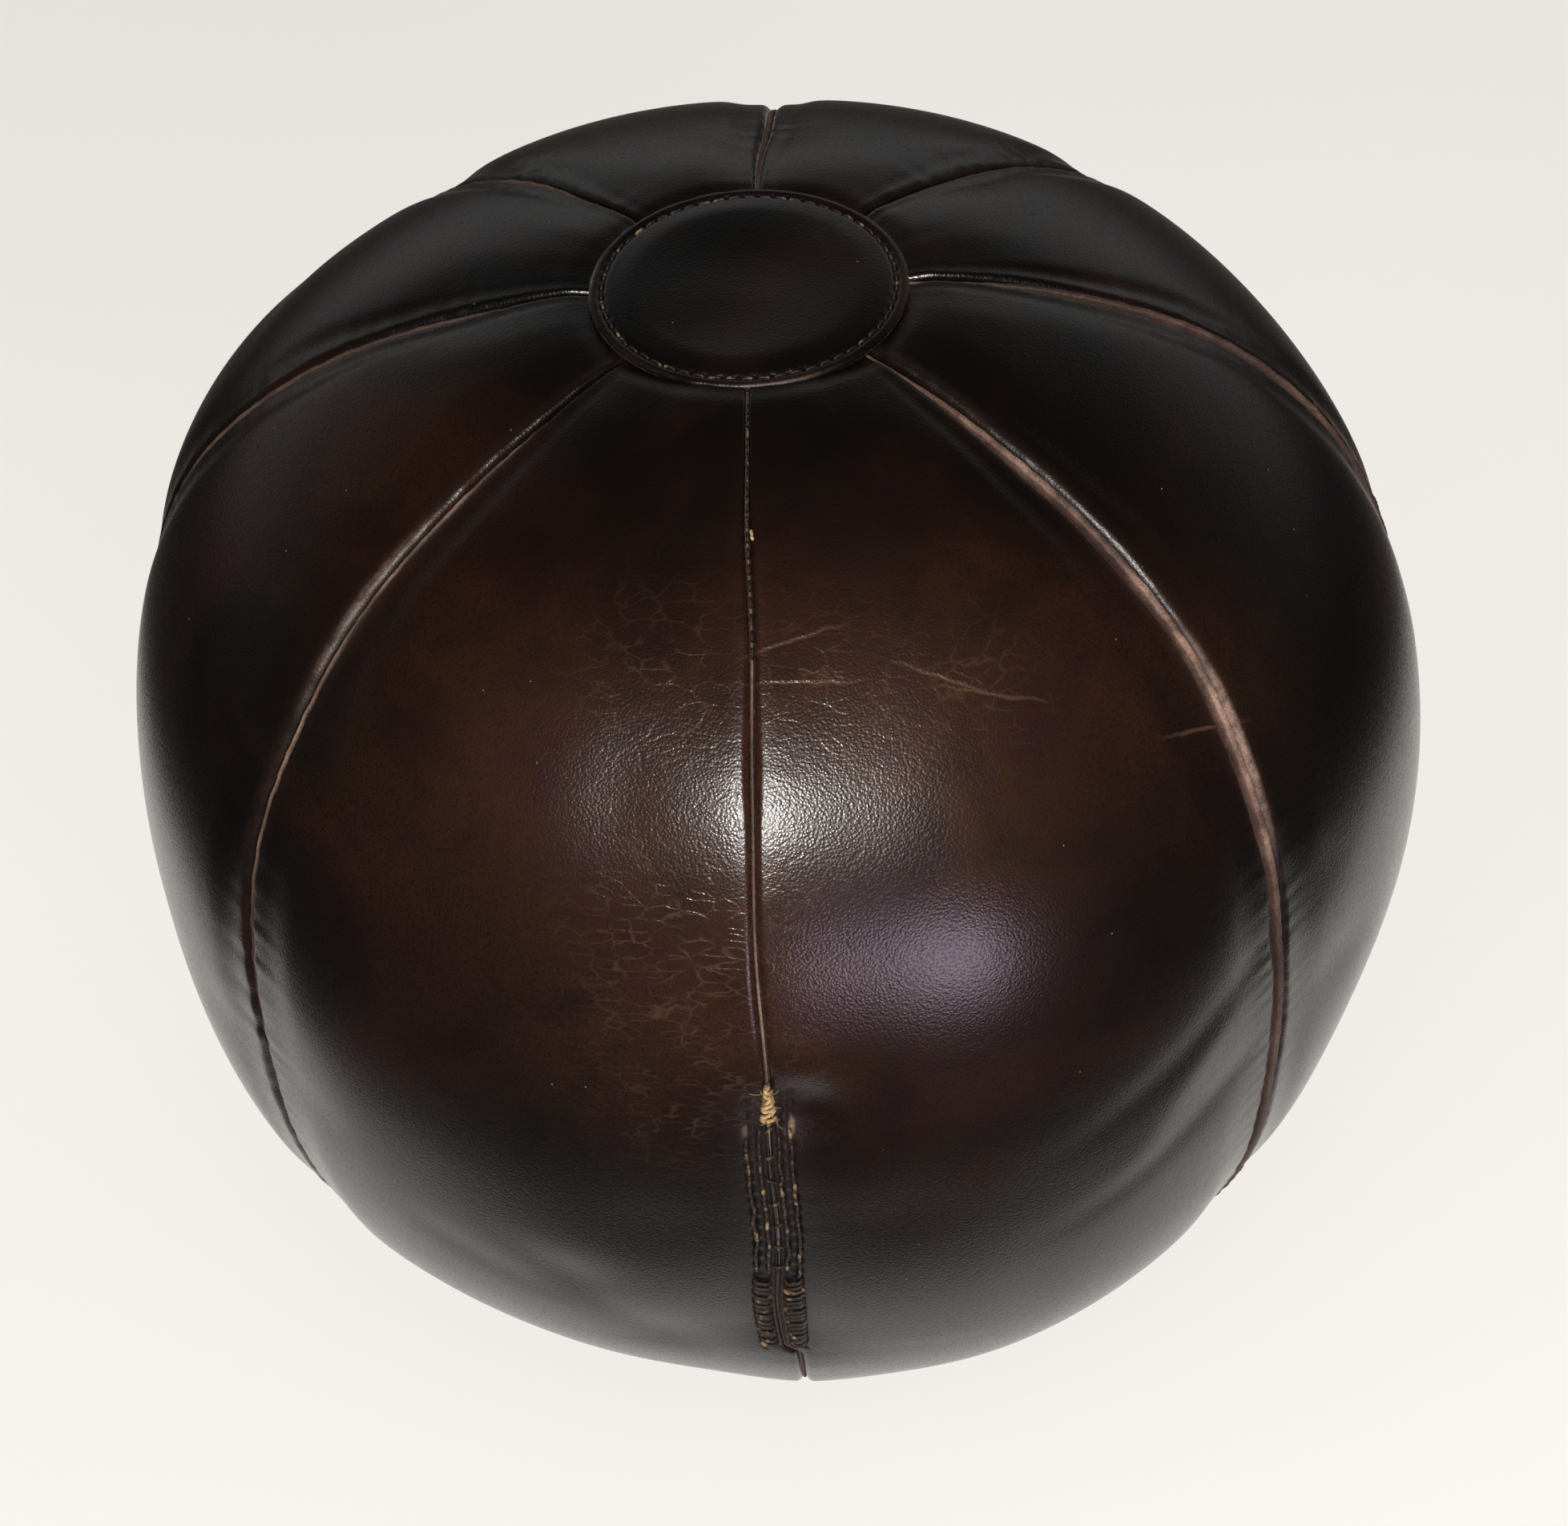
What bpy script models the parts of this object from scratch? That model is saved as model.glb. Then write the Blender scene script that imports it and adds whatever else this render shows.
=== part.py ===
"""Leather medicine ball: eight gores with welted seams, two round caps and a sewn-up stuffing mouth.

The origin is the middle of the flat face that the ball rests on. +Z runs up through both caps, and the
stuffing mouth looks along -Y. Seams are numbered from the mouth's seam, counter-clockwise from above, and
gore 1 lies between seam 1 and seam 2.
"""

import math

import bmesh
import bpy

# The skin of the gores, over the leather, in metres
BALL_DIAMETER = 0.340
SKIN_HEIGHT = 0.300
SHOULDER_POWER = 2.6  # 2 is a plain ellipse; more fills out the shoulders
GORE_COUNT = 8
SEAM_DRIFT_DEG = (0.0, 3.5, 4.0, 2.0, -2.0, -2.5, -2.5, -4.5)  # from an even eighth, as sewn by hand

# Leather and cloth
GORE_THICKNESS = 0.003
WELT_THICKNESS = 0.002
CAP_THICKNESS = 0.0025
BACKING_THICKNESS = 0.0025
FACING_THICKNESS = 0.0015
LINING_THICKNESS = 0.001

# Seams
ROLL_RADIUS = 0.005  # of the turned edge, on its outer face
ALLOWANCE_DEPTH = 0.009  # how far the turned-in edge reaches under the skin
WELT_TOP_DEPTH = 0.001

# Caps
CAP_DIAMETER = 0.078
CAP_BEVEL = 0.0015
CAP_LAP = 0.011  # how far the points of the gores reach under the cap
CAP_STITCH_INSET = 0.0035
BACKING_INSET = 0.002  # of the backing disc's edge from the cap's

# Stuffing mouth, in seam 1
MOUTH_LENGTH = 0.122  # upright, from end to end
MOUTH_BELOW_EQUATOR = 0.012  # of its middle
FACING_WIDTH = 0.010
MOUTH_ROW_TURNS_DEG = {"inner": 60.0, "outer": 90.0}  # place of each stitch row round the turned edge
CLOSING_PITCH = 0.006
CLOSING_SHALLOW_DEPTH = 0.0015
CLOSING_DEEP_DEPTH = 0.0075
KNOT_RADIUS = 0.0022

# Thread diameters
SEAM_THREAD = 0.001
CAP_THREAD = 0.0009
MOUTH_THREAD = 0.0009
CLOSING_THREAD = 0.001

# Clearances
CLEARANCE = 0.0003  # between faces that touch on the real ball
FACET_CLEARANCE = 0.001  # between curved layers, whose flat facets don't line up exactly
POLE_CLEARANCE = 0.0015  # between the backing discs and the lining

# Fineness of the meshes
ROLL_STEPS = 2
CROWN_SHARES = (0.25, 0.5, 0.75)
ROUND_STEPS = 36

LEATHER = ("espresso_leather", (0.030, 0.016, 0.012), 0.35)
WELT = ("welt_leather", (0.160, 0.070, 0.042), 0.80)
RAW_LEATHER = ("raw_leather", (0.330, 0.200, 0.110), 0.85)
DARK_THREAD = ("waxed_thread", (0.035, 0.022, 0.016), 0.60)
RAW_THREAD = ("raw_thread", (0.420, 0.270, 0.120), 0.90)
CANVAS = ("canvas", (0.520, 0.450, 0.330), 0.95)
HAIR = ("stuffing_hair", (0.200, 0.150, 0.100), 1.00)

equator_radius = BALL_DIAMETER / 2
pole_reach = SKIN_HEIGHT / 2
centre_height = pole_reach + CLEARANCE + CAP_THICKNESS
cap_radius = CAP_DIAMETER / 2
gore_end_radius = cap_radius - CAP_LAP
lip_aside = WELT_THICKNESS / 2 + CLEARANCE  # of each turned edge from the seam's plane
roll_aside = lip_aside + ROLL_RADIUS  # of the roll's centre, where the crown of the gore starts
lining_aside = lip_aside + GORE_THICKNESS + 2 * CLEARANCE
seam_thread_depth = ALLOWANCE_DEPTH + CLEARANCE + SEAM_THREAD / 2
lining_seam_depth = seam_thread_depth + SEAM_THREAD / 2 + CLEARANCE
lining_pole_depth = ALLOWANCE_DEPTH + BACKING_THICKNESS + POLE_CLEARANCE
mouth_top = MOUTH_LENGTH / 2 - MOUTH_BELOW_EQUATOR
mouth_bottom = -MOUTH_LENGTH / 2 - MOUTH_BELOW_EQUATOR


def clear_scene():
    for old in list(bpy.data.objects):
        bpy.data.objects.remove(old, do_unlink=True)


def seam_angle(seam):
    """Longitude of a seam, in radians; seam 0 is the mouth's, and seam 8 is the same one after a turn."""
    turns, index = divmod(seam, GORE_COUNT)
    even = -90.0 + 360.0 * index / GORE_COUNT + 360.0 * turns
    return math.radians(even + SEAM_DRIFT_DEG[index])


def skin_point(colatitude, depth):
    """Distance from the axis and height of a point at a depth square under the skin.

    The meridian is a superellipse: (out / equator radius)^power + (up / pole reach)^power = 1.
    """
    out, up = math.sin(colatitude), math.cos(colatitude)
    power = SHOULDER_POWER
    reach = ((out / equator_radius) ** power + abs(up / pole_reach) ** power) ** (-1 / power)
    out, up = out * reach, up * reach
    normal_out = (out / equator_radius) ** (power - 1) / equator_radius
    normal_up = math.copysign((abs(up) / pole_reach) ** (power - 1) / pole_reach, up)
    length = math.hypot(normal_out, normal_up)
    return out - depth * normal_out / length, centre_height + up - depth * normal_up / length


def colatitude_at_radius(radius):
    up = pole_reach * (1 - (radius / equator_radius) ** SHOULDER_POWER) ** (1 / SHOULDER_POWER)
    return math.atan2(radius, up)


def colatitude_at_height(up):
    """Colatitude of the skin at a height over the equator."""
    out = equator_radius * (1 - (abs(up) / pole_reach) ** SHOULDER_POWER) ** (1 / SHOULDER_POWER)
    return math.atan2(out, up)


def row_colatitudes():
    """Colatitudes that every layer shares, from the top points of the gores to the bottom ones."""
    end = colatitude_at_radius(gore_end_radius)
    shelf = colatitude_at_radius(cap_radius + ROLL_RADIUS)
    stops = (
        end,
        shelf,
        colatitude_at_height(mouth_top),
        colatitude_at_height(mouth_bottom),
        math.pi - shelf,
        math.pi - end,
    )
    steps = (1, 4, 3, 4, 1)
    rows = [end]
    for start, stop, count in zip(stops, stops[1:], steps):
        rows += [start + (stop - start) * step / count for step in range(1, count + 1)]
    return rows, sum(steps[:2]), sum(steps[:3])


ROWS, MOUTH_FIRST_ROW, MOUTH_LAST_ROW = row_colatitudes()


def at_angle(out, height, angle):
    return out * math.cos(angle), out * math.sin(angle), height


def beside_seam(seam, colatitude, aside, depth):
    """A point at a distance aside of a seam's plane and at a depth under the skin."""
    out, height = skin_point(colatitude, depth)
    return at_angle(out, height, seam_angle(seam) + math.asin(aside / out))


def crown_points(gore, colatitude, depth, shares):
    """Points across the crown of a gore, between the rolls of its two seams."""
    out, height = skin_point(colatitude, depth)
    start = seam_angle(gore) + math.asin(roll_aside / out)
    stop = seam_angle(gore + 1) - math.asin(roll_aside / out)
    return [at_angle(out, height, start + (stop - start) * share) for share in shares]


def material(look):
    name, colour, roughness = look
    found = bpy.data.materials.get(name)
    if found:
        return found
    made = bpy.data.materials.new(name)
    made.use_nodes = True
    shader = made.node_tree.nodes["Principled BSDF"]
    shader.inputs["Base Color"].default_value = (*colour, 1.0)
    shader.inputs["Roughness"].default_value = roughness
    shader.inputs["Metallic"].default_value = 0.0
    return made


def add_object(name, data, look):
    made = bpy.data.objects.new(name, data)
    made.data.materials.append(material(look))
    bpy.context.scene.collection.objects.link(made)
    return made


def add_mesh(name, points, faces, look):
    mesh = bpy.data.meshes.new(name)
    mesh.from_pydata(points, [], faces)
    mesh.shade_smooth()
    mesh.set_sharp_from_angle(angle=math.radians(50))
    return add_object(name, mesh, look)


def thicken(piece, thickness, offset=-1.0):
    """Solidify to a thickness: an offset of -1 keeps the modelled face outside, 0 keeps it in the middle."""
    solid = piece.modifiers.new("thickness", "SOLIDIFY")
    solid.thickness = thickness
    solid.offset = offset
    solid.use_even_offset = True
    return piece


def add_sheet(name, grid, look, thickness, offset=-1.0):
    """A thick sheet whose outer face is a grid of points: rows run down, columns run counter-clockwise."""
    columns = len(grid[0])
    faces = []
    for row in range(len(grid) - 1):
        for column in range(columns - 1):
            corner = row * columns + column
            faces.append((corner, corner + columns, corner + columns + 1, corner + 1))
    points = [point for row in grid for point in row]
    return thicken(add_mesh(name, points, faces, look), thickness, offset)


def add_tube(name, points, diameter, look, cyclic=False):
    curve = bpy.data.curves.new(name, "CURVE")
    curve.dimensions = "3D"
    curve.bevel_depth = diameter / 2
    curve.bevel_resolution = 1
    curve.use_fill_caps = True
    spline = curve.splines.new("POLY")
    spline.points.add(len(points) - 1)
    for place, point in zip(spline.points, points):
        place.co = (*point, 1.0)
    spline.use_cyclic_u = cyclic
    return add_object(name, curve, look)


def add_turned(name, profile, look):
    """A body turned about the axis from a profile that runs down its outer side."""
    points = [(out, 0.0, height) for out, height in profile]
    edges = [(index, index + 1) for index in range(len(points) - 1)]
    mesh = bpy.data.meshes.new(name)
    mesh.from_pydata(points, edges, [])
    turned = add_object(name, mesh, look)
    screw = turned.modifiers.new("turning", "SCREW")
    screw.steps = ROUND_STEPS
    screw.render_steps = ROUND_STEPS
    screw.use_merge_vertices = True
    screw.merge_threshold = 0.00001
    screw.use_smooth_shade = False
    return turned


def turned_edge():
    """One turned edge of a gore, as (aside, depth) pairs from its cut end round to the crown."""
    edge = [(lip_aside, ALLOWANCE_DEPTH)]
    for step in range(ROLL_STEPS + 1):
        turn = math.pi / 2 * step / ROLL_STEPS
        aside = roll_aside - ROLL_RADIUS * math.cos(turn)
        edge.append((aside, ROLL_RADIUS - ROLL_RADIUS * math.sin(turn)))
    return edge


def add_gore(gore):
    """A leather panel from cap to cap, with both long edges turned in towards the stuffing."""
    edge = turned_edge()
    grid = []
    for colatitude in ROWS:
        first = [beside_seam(gore, colatitude, aside, depth) for aside, depth in edge]
        crown = crown_points(gore, colatitude, 0.0, CROWN_SHARES)
        last = [beside_seam(gore + 1, colatitude, -aside, depth) for aside, depth in reversed(edge)]
        grid.append(first + crown + last)
    return add_sheet(f"gore_{gore + 1}", grid, LEATHER, GORE_THICKNESS)


def add_welt(name, seam, rows):
    """The strip that stands between two turned edges, with its top in the valley of the seam."""
    grid = []
    for colatitude in rows:
        top = beside_seam(seam, colatitude, 0.0, WELT_TOP_DEPTH)
        foot = beside_seam(seam, colatitude, 0.0, ALLOWANCE_DEPTH)
        grid.append([top, foot])
    return add_sheet(name, grid, WELT, WELT_THICKNESS, offset=0.0)


def add_seam_thread(name, seam, rows):
    """The line of stitches that holds a seam, laid under its turned edges and clear of the backing discs."""
    clear = [colatitude for colatitude in rows if colatitude not in (ROWS[0], ROWS[-1])]
    points = [beside_seam(seam, colatitude, 0.0, seam_thread_depth) for colatitude in clear]
    return add_tube(name, points, SEAM_THREAD, DARK_THREAD)


def add_seams():
    for seam in range(GORE_COUNT):
        number = seam + 1
        runs = {"": ROWS}
        if seam == 0:
            runs = {"_upper": ROWS[: MOUTH_FIRST_ROW + 1], "_lower": ROWS[MOUTH_LAST_ROW:]}
        for part, rows in runs.items():
            add_welt(f"welt_{number}{part}", seam, rows)
            add_seam_thread(f"seam_thread_{number}{part}", seam, rows)


def cap_profile():
    """The top cap's profile, from the axis on its outer face round to the axis on its inner face."""
    stitch_radius = cap_radius - CAP_STITCH_INSET
    groove_half = CAP_THREAD / 2 + CLEARANCE
    top = centre_height + pole_reach + CLEARANCE + CAP_THICKNESS
    groove_floor = top - CAP_THREAD - CLEARANCE
    rim_under = skin_point(colatitude_at_radius(cap_radius), 0.0)[1] + CLEARANCE
    lap_under = skin_point(colatitude_at_radius(gore_end_radius), 0.0)[1] + CLEARANCE
    return [
        (0.0, top),
        (stitch_radius - groove_half, top),
        (stitch_radius - groove_half, groove_floor),
        (stitch_radius + groove_half, groove_floor),
        (stitch_radius + groove_half, top),
        (cap_radius - CAP_BEVEL, top),
        (cap_radius, top - CAP_BEVEL),
        (cap_radius, rim_under),
        (gore_end_radius, lap_under),
        (0.0, centre_height + pole_reach + CLEARANCE),
    ]


def mirrored(height):
    """The height on the lower half that matches one on the upper half."""
    return 2 * centre_height - height


def add_cap(name, upper):
    """A round leather cap over the points of the gores, with a groove that its stitches lie in."""
    profile = cap_profile()
    thread_height = profile[0][1] - CAP_THREAD / 2
    if not upper:
        profile = [(out, mirrored(height)) for out, height in reversed(profile)]
        thread_height = mirrored(thread_height)
    add_turned(name, profile, LEATHER)
    ring = []
    for step in range(ROUND_STEPS):
        angle = 2 * math.pi * step / ROUND_STEPS
        ring.append(at_angle(cap_radius - CAP_STITCH_INSET, thread_height, angle))
    add_tube(f"{name}_thread", ring, CAP_THREAD, DARK_THREAD, cyclic=True)


def add_backing(name, upper):
    """A flat disc under the seam allowances at a pole, which the cap's stitches pull against."""
    radius = cap_radius - BACKING_INSET
    shelf = skin_point(colatitude_at_radius(radius), ALLOWANCE_DEPTH)[1] - CLEARANCE
    middle = shelf - BACKING_THICKNESS / 2
    shape = bmesh.new()
    bmesh.ops.create_cone(
        shape,
        cap_ends=True,
        segments=ROUND_STEPS,
        radius1=radius,
        radius2=radius,
        depth=BACKING_THICKNESS,
    )
    mesh = bpy.data.meshes.new(name)
    shape.to_mesh(mesh)
    shape.free()
    backing = add_object(name, mesh, RAW_LEATHER)
    backing.location.z = middle if upper else mirrored(middle)


def bag_grid(extra_depth):
    """Rows of points round the bag inside the skin: it dips under each seam and under the caps."""
    grid = []
    for row, colatitude in enumerate(ROWS):
        at_pole = row < 2 or row > len(ROWS) - 3
        seam_depth = lining_pole_depth if at_pole else lining_seam_depth
        crown_depth = lining_pole_depth if at_pole else GORE_THICKNESS + FACET_CLEARANCE
        around = []
        for gore in range(GORE_COUNT):
            depth = seam_depth + extra_depth
            around.append(beside_seam(gore, colatitude, -lining_aside, depth))
            around.append(beside_seam(gore, colatitude, lining_aside, depth))
            around += crown_points(gore, colatitude, crown_depth + extra_depth, CROWN_SHARES)
        grid.append(around)
    return grid


def bag_faces(grid, open_mouth):
    """Faces round the bag, closed by a fan at each pole; an open mouth leaves out its slit."""
    columns = len(grid[0])
    faces = []
    for row in range(len(grid) - 1):
        in_mouth = MOUTH_FIRST_ROW <= row < MOUTH_LAST_ROW
        for column in range(columns):
            if open_mouth and in_mouth and column == 0:
                continue
            here = row * columns + column
            beside = row * columns + (column + 1) % columns
            faces.append((here, here + columns, beside + columns, beside))
    north = len(grid) * columns
    south = north + 1
    last = (len(grid) - 1) * columns
    for column in range(columns):
        beside = (column + 1) % columns
        faces.append((north, column, beside))
        faces.append((south, last + beside, last + column))
    return faces


def add_bag(name, extra_depth, look, open_mouth):
    grid = bag_grid(extra_depth)
    points = [point for around in grid for point in around]
    points.append((0.0, 0.0, grid[0][0][2]))
    points.append((0.0, 0.0, grid[-1][0][2]))
    return add_mesh(name, points, bag_faces(grid, open_mouth), look)


def add_lining_and_stuffing():
    lining = add_bag("canvas_lining", 0.0, CANVAS, open_mouth=True)
    thicken(lining, LINING_THICKNESS)
    add_bag("stuffing", LINING_THICKNESS + 2 * CLEARANCE, HAIR, open_mouth=False)


def add_mouth_facing(name, side):
    """A strip of leather behind one lip of the mouth, which its two rows of stitches go through."""
    depth = GORE_THICKNESS + FACET_CLEARANCE
    near = roll_aside + CLEARANCE
    far = near + FACING_WIDTH
    grid = []
    for colatitude in ROWS[MOUTH_FIRST_ROW : MOUTH_LAST_ROW + 1]:
        strip = [beside_seam(0, colatitude, side * aside, depth) for aside in (near, far)]
        grid.append(strip if side > 0 else strip[::-1])
    add_sheet(name, grid, RAW_LEATHER, FACING_THICKNESS)


def add_mouth_row(name, side, turn_deg):
    """A row of stitches along one lip, lying on the turned edge of the gore."""
    turn = math.radians(turn_deg)
    reach = ROLL_RADIUS + CLEARANCE + MOUTH_THREAD / 2
    aside = roll_aside - reach * math.cos(turn)
    depth = ROLL_RADIUS - reach * math.sin(turn)
    rows = ROWS[MOUTH_FIRST_ROW : MOUTH_LAST_ROW + 1]
    points = [beside_seam(0, colatitude, side * aside, depth) for colatitude in rows]
    add_tube(name, points, MOUTH_THREAD, DARK_THREAD)


def add_closing_thread():
    """The thread that closes the slit, in and out between its lips, with its knot at the upper end."""
    knot_height = mouth_top - CLEARANCE - KNOT_RADIUS
    start = knot_height - KNOT_RADIUS - CLEARANCE - CLOSING_THREAD
    stop = mouth_bottom + CLEARANCE + CLOSING_THREAD
    count = round((start - stop) / CLOSING_PITCH) * 2
    points = []
    for step in range(count + 1):
        height = start + (stop - start) * step / count
        depth = CLOSING_DEEP_DEPTH if step % 2 == 0 else CLOSING_SHALLOW_DEPTH
        points.append(beside_seam(0, colatitude_at_height(height), 0.0, depth))
    add_tube("closing_thread", points, CLOSING_THREAD, DARK_THREAD)

    rest_reach = ROLL_RADIUS + KNOT_RADIUS + 2 * CLEARANCE
    knot_depth = ROLL_RADIUS - math.sqrt(rest_reach**2 - roll_aside**2)
    shape = bmesh.new()
    bmesh.ops.create_icosphere(shape, subdivisions=2, radius=KNOT_RADIUS)
    mesh = bpy.data.meshes.new("closing_knot")
    shape.to_mesh(mesh)
    shape.free()
    mesh.shade_smooth()
    knot = add_object("closing_knot", mesh, RAW_THREAD)
    knot.location = beside_seam(0, colatitude_at_height(knot_height), 0.0, knot_depth)


def add_mouth():
    for word, side in (("left", -1), ("right", 1)):
        add_mouth_facing(f"mouth_facing_{word}", side)
        for row, turn_deg in MOUTH_ROW_TURNS_DEG.items():
            add_mouth_row(f"mouth_thread_{word}_{row}", side, turn_deg)
    add_closing_thread()


clear_scene()
for gore in range(GORE_COUNT):
    add_gore(gore)
add_seams()
for word in ("top", "bottom"):
    add_cap(f"{word}_cap", word == "top")
    add_backing(f"{word}_cap_backing", word == "top")
add_lining_and_stuffing()
add_mouth()
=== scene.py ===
"""Looks of a hand-sewn leather medicine ball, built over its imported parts."""

import math

import bpy
import numpy as np
from mathutils import Euler, Matrix, Vector


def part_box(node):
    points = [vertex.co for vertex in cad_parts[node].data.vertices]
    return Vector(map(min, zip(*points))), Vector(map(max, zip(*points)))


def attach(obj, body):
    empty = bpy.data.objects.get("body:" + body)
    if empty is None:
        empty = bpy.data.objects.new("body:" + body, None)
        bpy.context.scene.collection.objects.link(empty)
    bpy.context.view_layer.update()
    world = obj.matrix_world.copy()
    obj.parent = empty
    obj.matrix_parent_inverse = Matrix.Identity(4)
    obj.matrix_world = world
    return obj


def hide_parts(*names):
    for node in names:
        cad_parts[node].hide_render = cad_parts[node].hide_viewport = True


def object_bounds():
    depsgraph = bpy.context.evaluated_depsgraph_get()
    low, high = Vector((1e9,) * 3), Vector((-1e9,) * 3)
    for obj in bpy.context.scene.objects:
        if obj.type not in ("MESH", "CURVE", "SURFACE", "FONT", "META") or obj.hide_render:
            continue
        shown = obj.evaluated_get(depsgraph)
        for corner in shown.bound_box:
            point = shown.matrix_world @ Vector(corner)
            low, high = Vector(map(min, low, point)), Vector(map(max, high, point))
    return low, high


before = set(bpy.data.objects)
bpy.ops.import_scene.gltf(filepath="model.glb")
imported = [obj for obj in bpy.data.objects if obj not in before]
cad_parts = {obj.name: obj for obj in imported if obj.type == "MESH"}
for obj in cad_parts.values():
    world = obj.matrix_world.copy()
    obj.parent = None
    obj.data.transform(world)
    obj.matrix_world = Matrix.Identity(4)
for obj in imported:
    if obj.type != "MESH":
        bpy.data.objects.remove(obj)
cad_low, cad_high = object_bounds()

# ---------------------------------------------------------------------------------------------------
# Stuffing
# Hair packed hard by hand through the mouth. It sets the form that all else is sewn over: full
# shoulders, flat poles, and the lumps, flats and slack folds of a ball that was thrown for years.
# ---------------------------------------------------------------------------------------------------
EQUATOR_RADIUS = (cad_high.x - cad_low.x) / 2
CENTRE_HEIGHT = (cad_high.z + cad_low.z) / 2
CAP_THICKNESS = 0.0025
CAP_LIFT = 0.0003  # of the caps over the skin
POLE_REACH = CENTRE_HEIGHT - CAP_THICKNESS - CAP_LIFT
SHOULDER_POWER = 2.6
CALM_RADIUS = 0.062  # round each pole, where the form stays even under the cap
RIPPLE = 0.0008
RIPPLE_LENGTH = 0.15
GORE_COUNT = 8
GORE_THICKNESS = 0.003
ALLOWANCE_DEPTH = 0.009

# Lumps and flats: direction from the ball's middle, height, half-width
LUMPS = (
    ((0.83, 0.39, 0.39), -0.0030, 0.060),
    ((-0.40, -0.65, -0.65), -0.0030, 0.055),
    ((0.88, -0.34, -0.34), -0.0026, 0.040),
    ((0.99, -0.08, -0.08), 0.0020, 0.050),
    ((-0.84, 0.38, 0.38), 0.0018, 0.045),
    ((0.20, -0.69, -0.69), 0.0014, 0.050),
    ((-0.62, 0.55, 0.55), -0.0014, 0.045),
    ((0.37, -0.83, 0.40), 0.0010, 0.030),
    ((0.10, -0.96, 0.22), -0.0014, 0.014),
    ((-0.30, -0.94, -0.17), -0.0010, 0.010),
    ((-0.17, -0.93, -0.31), -0.0010, 0.011),
)

# Slack folds: directions of their two ends, height, half-width
FOLDS = (
    ((0.74, -0.64, 0.22), (0.42, -0.90, 0.06), -0.0004, 0.0060),
    ((0.72, -0.69, 0.02), (0.40, -0.91, -0.12), -0.0003, 0.0050),
    ((0.66, -0.74, 0.16), (0.50, -0.86, -0.04), 0.0003, 0.0060),
    ((-0.36, -0.92, -0.10), (-0.20, -0.93, -0.30), -0.0003, 0.0050),
    ((-0.52, -0.84, -0.14), (-0.30, -0.92, -0.24), -0.0003, 0.0060),
    ((-0.76, 0.20, 0.62), (-0.66, 0.44, 0.60), -0.0004, 0.0060),
    ((-0.42, -0.59, 0.68), (0.46, -0.58, 0.66), -0.0016, 0.0350),
)


def plane_waves(points, wavelength, seed, count=14):
    """Uneven relief between about -1 and 1, as the sum of sine waves in random directions.

    Each wave is sin(2 pi (point . direction) / (wavelength x stretch) + phase).
    """
    draw = np.random.default_rng(seed)
    directions = draw.normal(size=(count, 3))
    directions /= np.linalg.norm(directions, axis=1)[:, None]
    directions /= wavelength * draw.uniform(0.75, 1.35, count)[:, None]
    phase = draw.uniform(0, 2 * np.pi, count)
    return np.sin(2 * np.pi * (points @ directions.T) + phase).sum(-1) / math.sqrt(count)


def line_waves(length, wavelength, seed, count=9):
    """Uneven relief along a line, as the sum of sine waves of lengths round the given one."""
    draw = np.random.default_rng(seed)
    turns = 2 * np.pi / (wavelength * draw.uniform(0.55, 1.6, count))
    phase = draw.uniform(0, 2 * np.pi, count)
    return np.sin(np.asarray(length)[..., None] * turns + phase).sum(-1) / math.sqrt(count)


def soft_step(value, start, stop):
    """0 before start, 1 after stop, and 3 t^2 - 2 t^3 between them."""
    share = np.clip((value - start) / (stop - start), 0, 1)
    return share * share * (3 - 2 * share)


def unit(vector):
    return np.array(vector) / np.linalg.norm(vector)


def meridian(colatitude):
    """Distance from the axis, height over the equator, and outward normal of the even form.

    The meridian is a superellipse: (out / equator radius)^power + (up / pole reach)^power = 1.
    """
    out, up = np.sin(colatitude), np.cos(colatitude)
    power = SHOULDER_POWER
    reach = ((out / EQUATOR_RADIUS) ** power + np.abs(up / POLE_REACH) ** power) ** (-1 / power)
    out, up = out * reach, up * reach
    normal_out = (out / EQUATOR_RADIUS) ** (power - 1) / EQUATOR_RADIUS
    normal_up = np.sign(up) * (np.abs(up) / POLE_REACH) ** (power - 1) / POLE_REACH
    length = np.hypot(normal_out, normal_up)
    return out, up, normal_out / length, normal_up / length


def skin_height(radius):
    """Height of the even form over the equator at a distance from the axis."""
    return POLE_REACH * (1 - (radius / EQUATOR_RADIUS) ** SHOULDER_POWER) ** (1 / SHOULDER_POWER)


def colatitude_at_radius(radius):
    return math.atan2(radius, skin_height(radius))


def lumps(colatitude, longitude):
    """Height of the uneven form over the even one.

    It is a slow ripple, plus a bell exp(-(distance / half-width)^2) for each lump, plus a bell drawn
    out along an arc for each fold, exp(-(across / half-width)^2 - (along / half its arc)^4). All of it
    fades out towards the poles.
    """
    out, up, _, _ = meridian(colatitude)
    points = np.stack([out * np.cos(longitude), out * np.sin(longitude), up + 0 * longitude], -1)
    towards = points / np.linalg.norm(points, axis=-1, keepdims=True)
    height = RIPPLE * plane_waves(points, RIPPLE_LENGTH, seed=5)
    for direction, rise, half_width in LUMPS:
        away = np.arccos(np.clip(towards @ unit(direction), -1, 1)) * EQUATOR_RADIUS
        height = height + rise * np.exp(-((away / half_width) ** 2))
    for start, stop, rise, half_width in FOLDS:
        pole = unit(np.cross(unit(start), unit(stop)))
        middle = unit(unit(start) + unit(stop))
        half_arc = math.acos(float(middle @ unit(start)))
        across = (towards @ pole) * EQUATOR_RADIUS
        along = np.arctan2(towards @ np.cross(pole, middle), towards @ middle)
        bell = np.exp(-((across / half_width) ** 2) - (along / half_arc) ** 4)
        height = height + rise * bell
    return height * (1 - np.exp(-((out / CALM_RADIUS) ** 6)))


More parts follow.
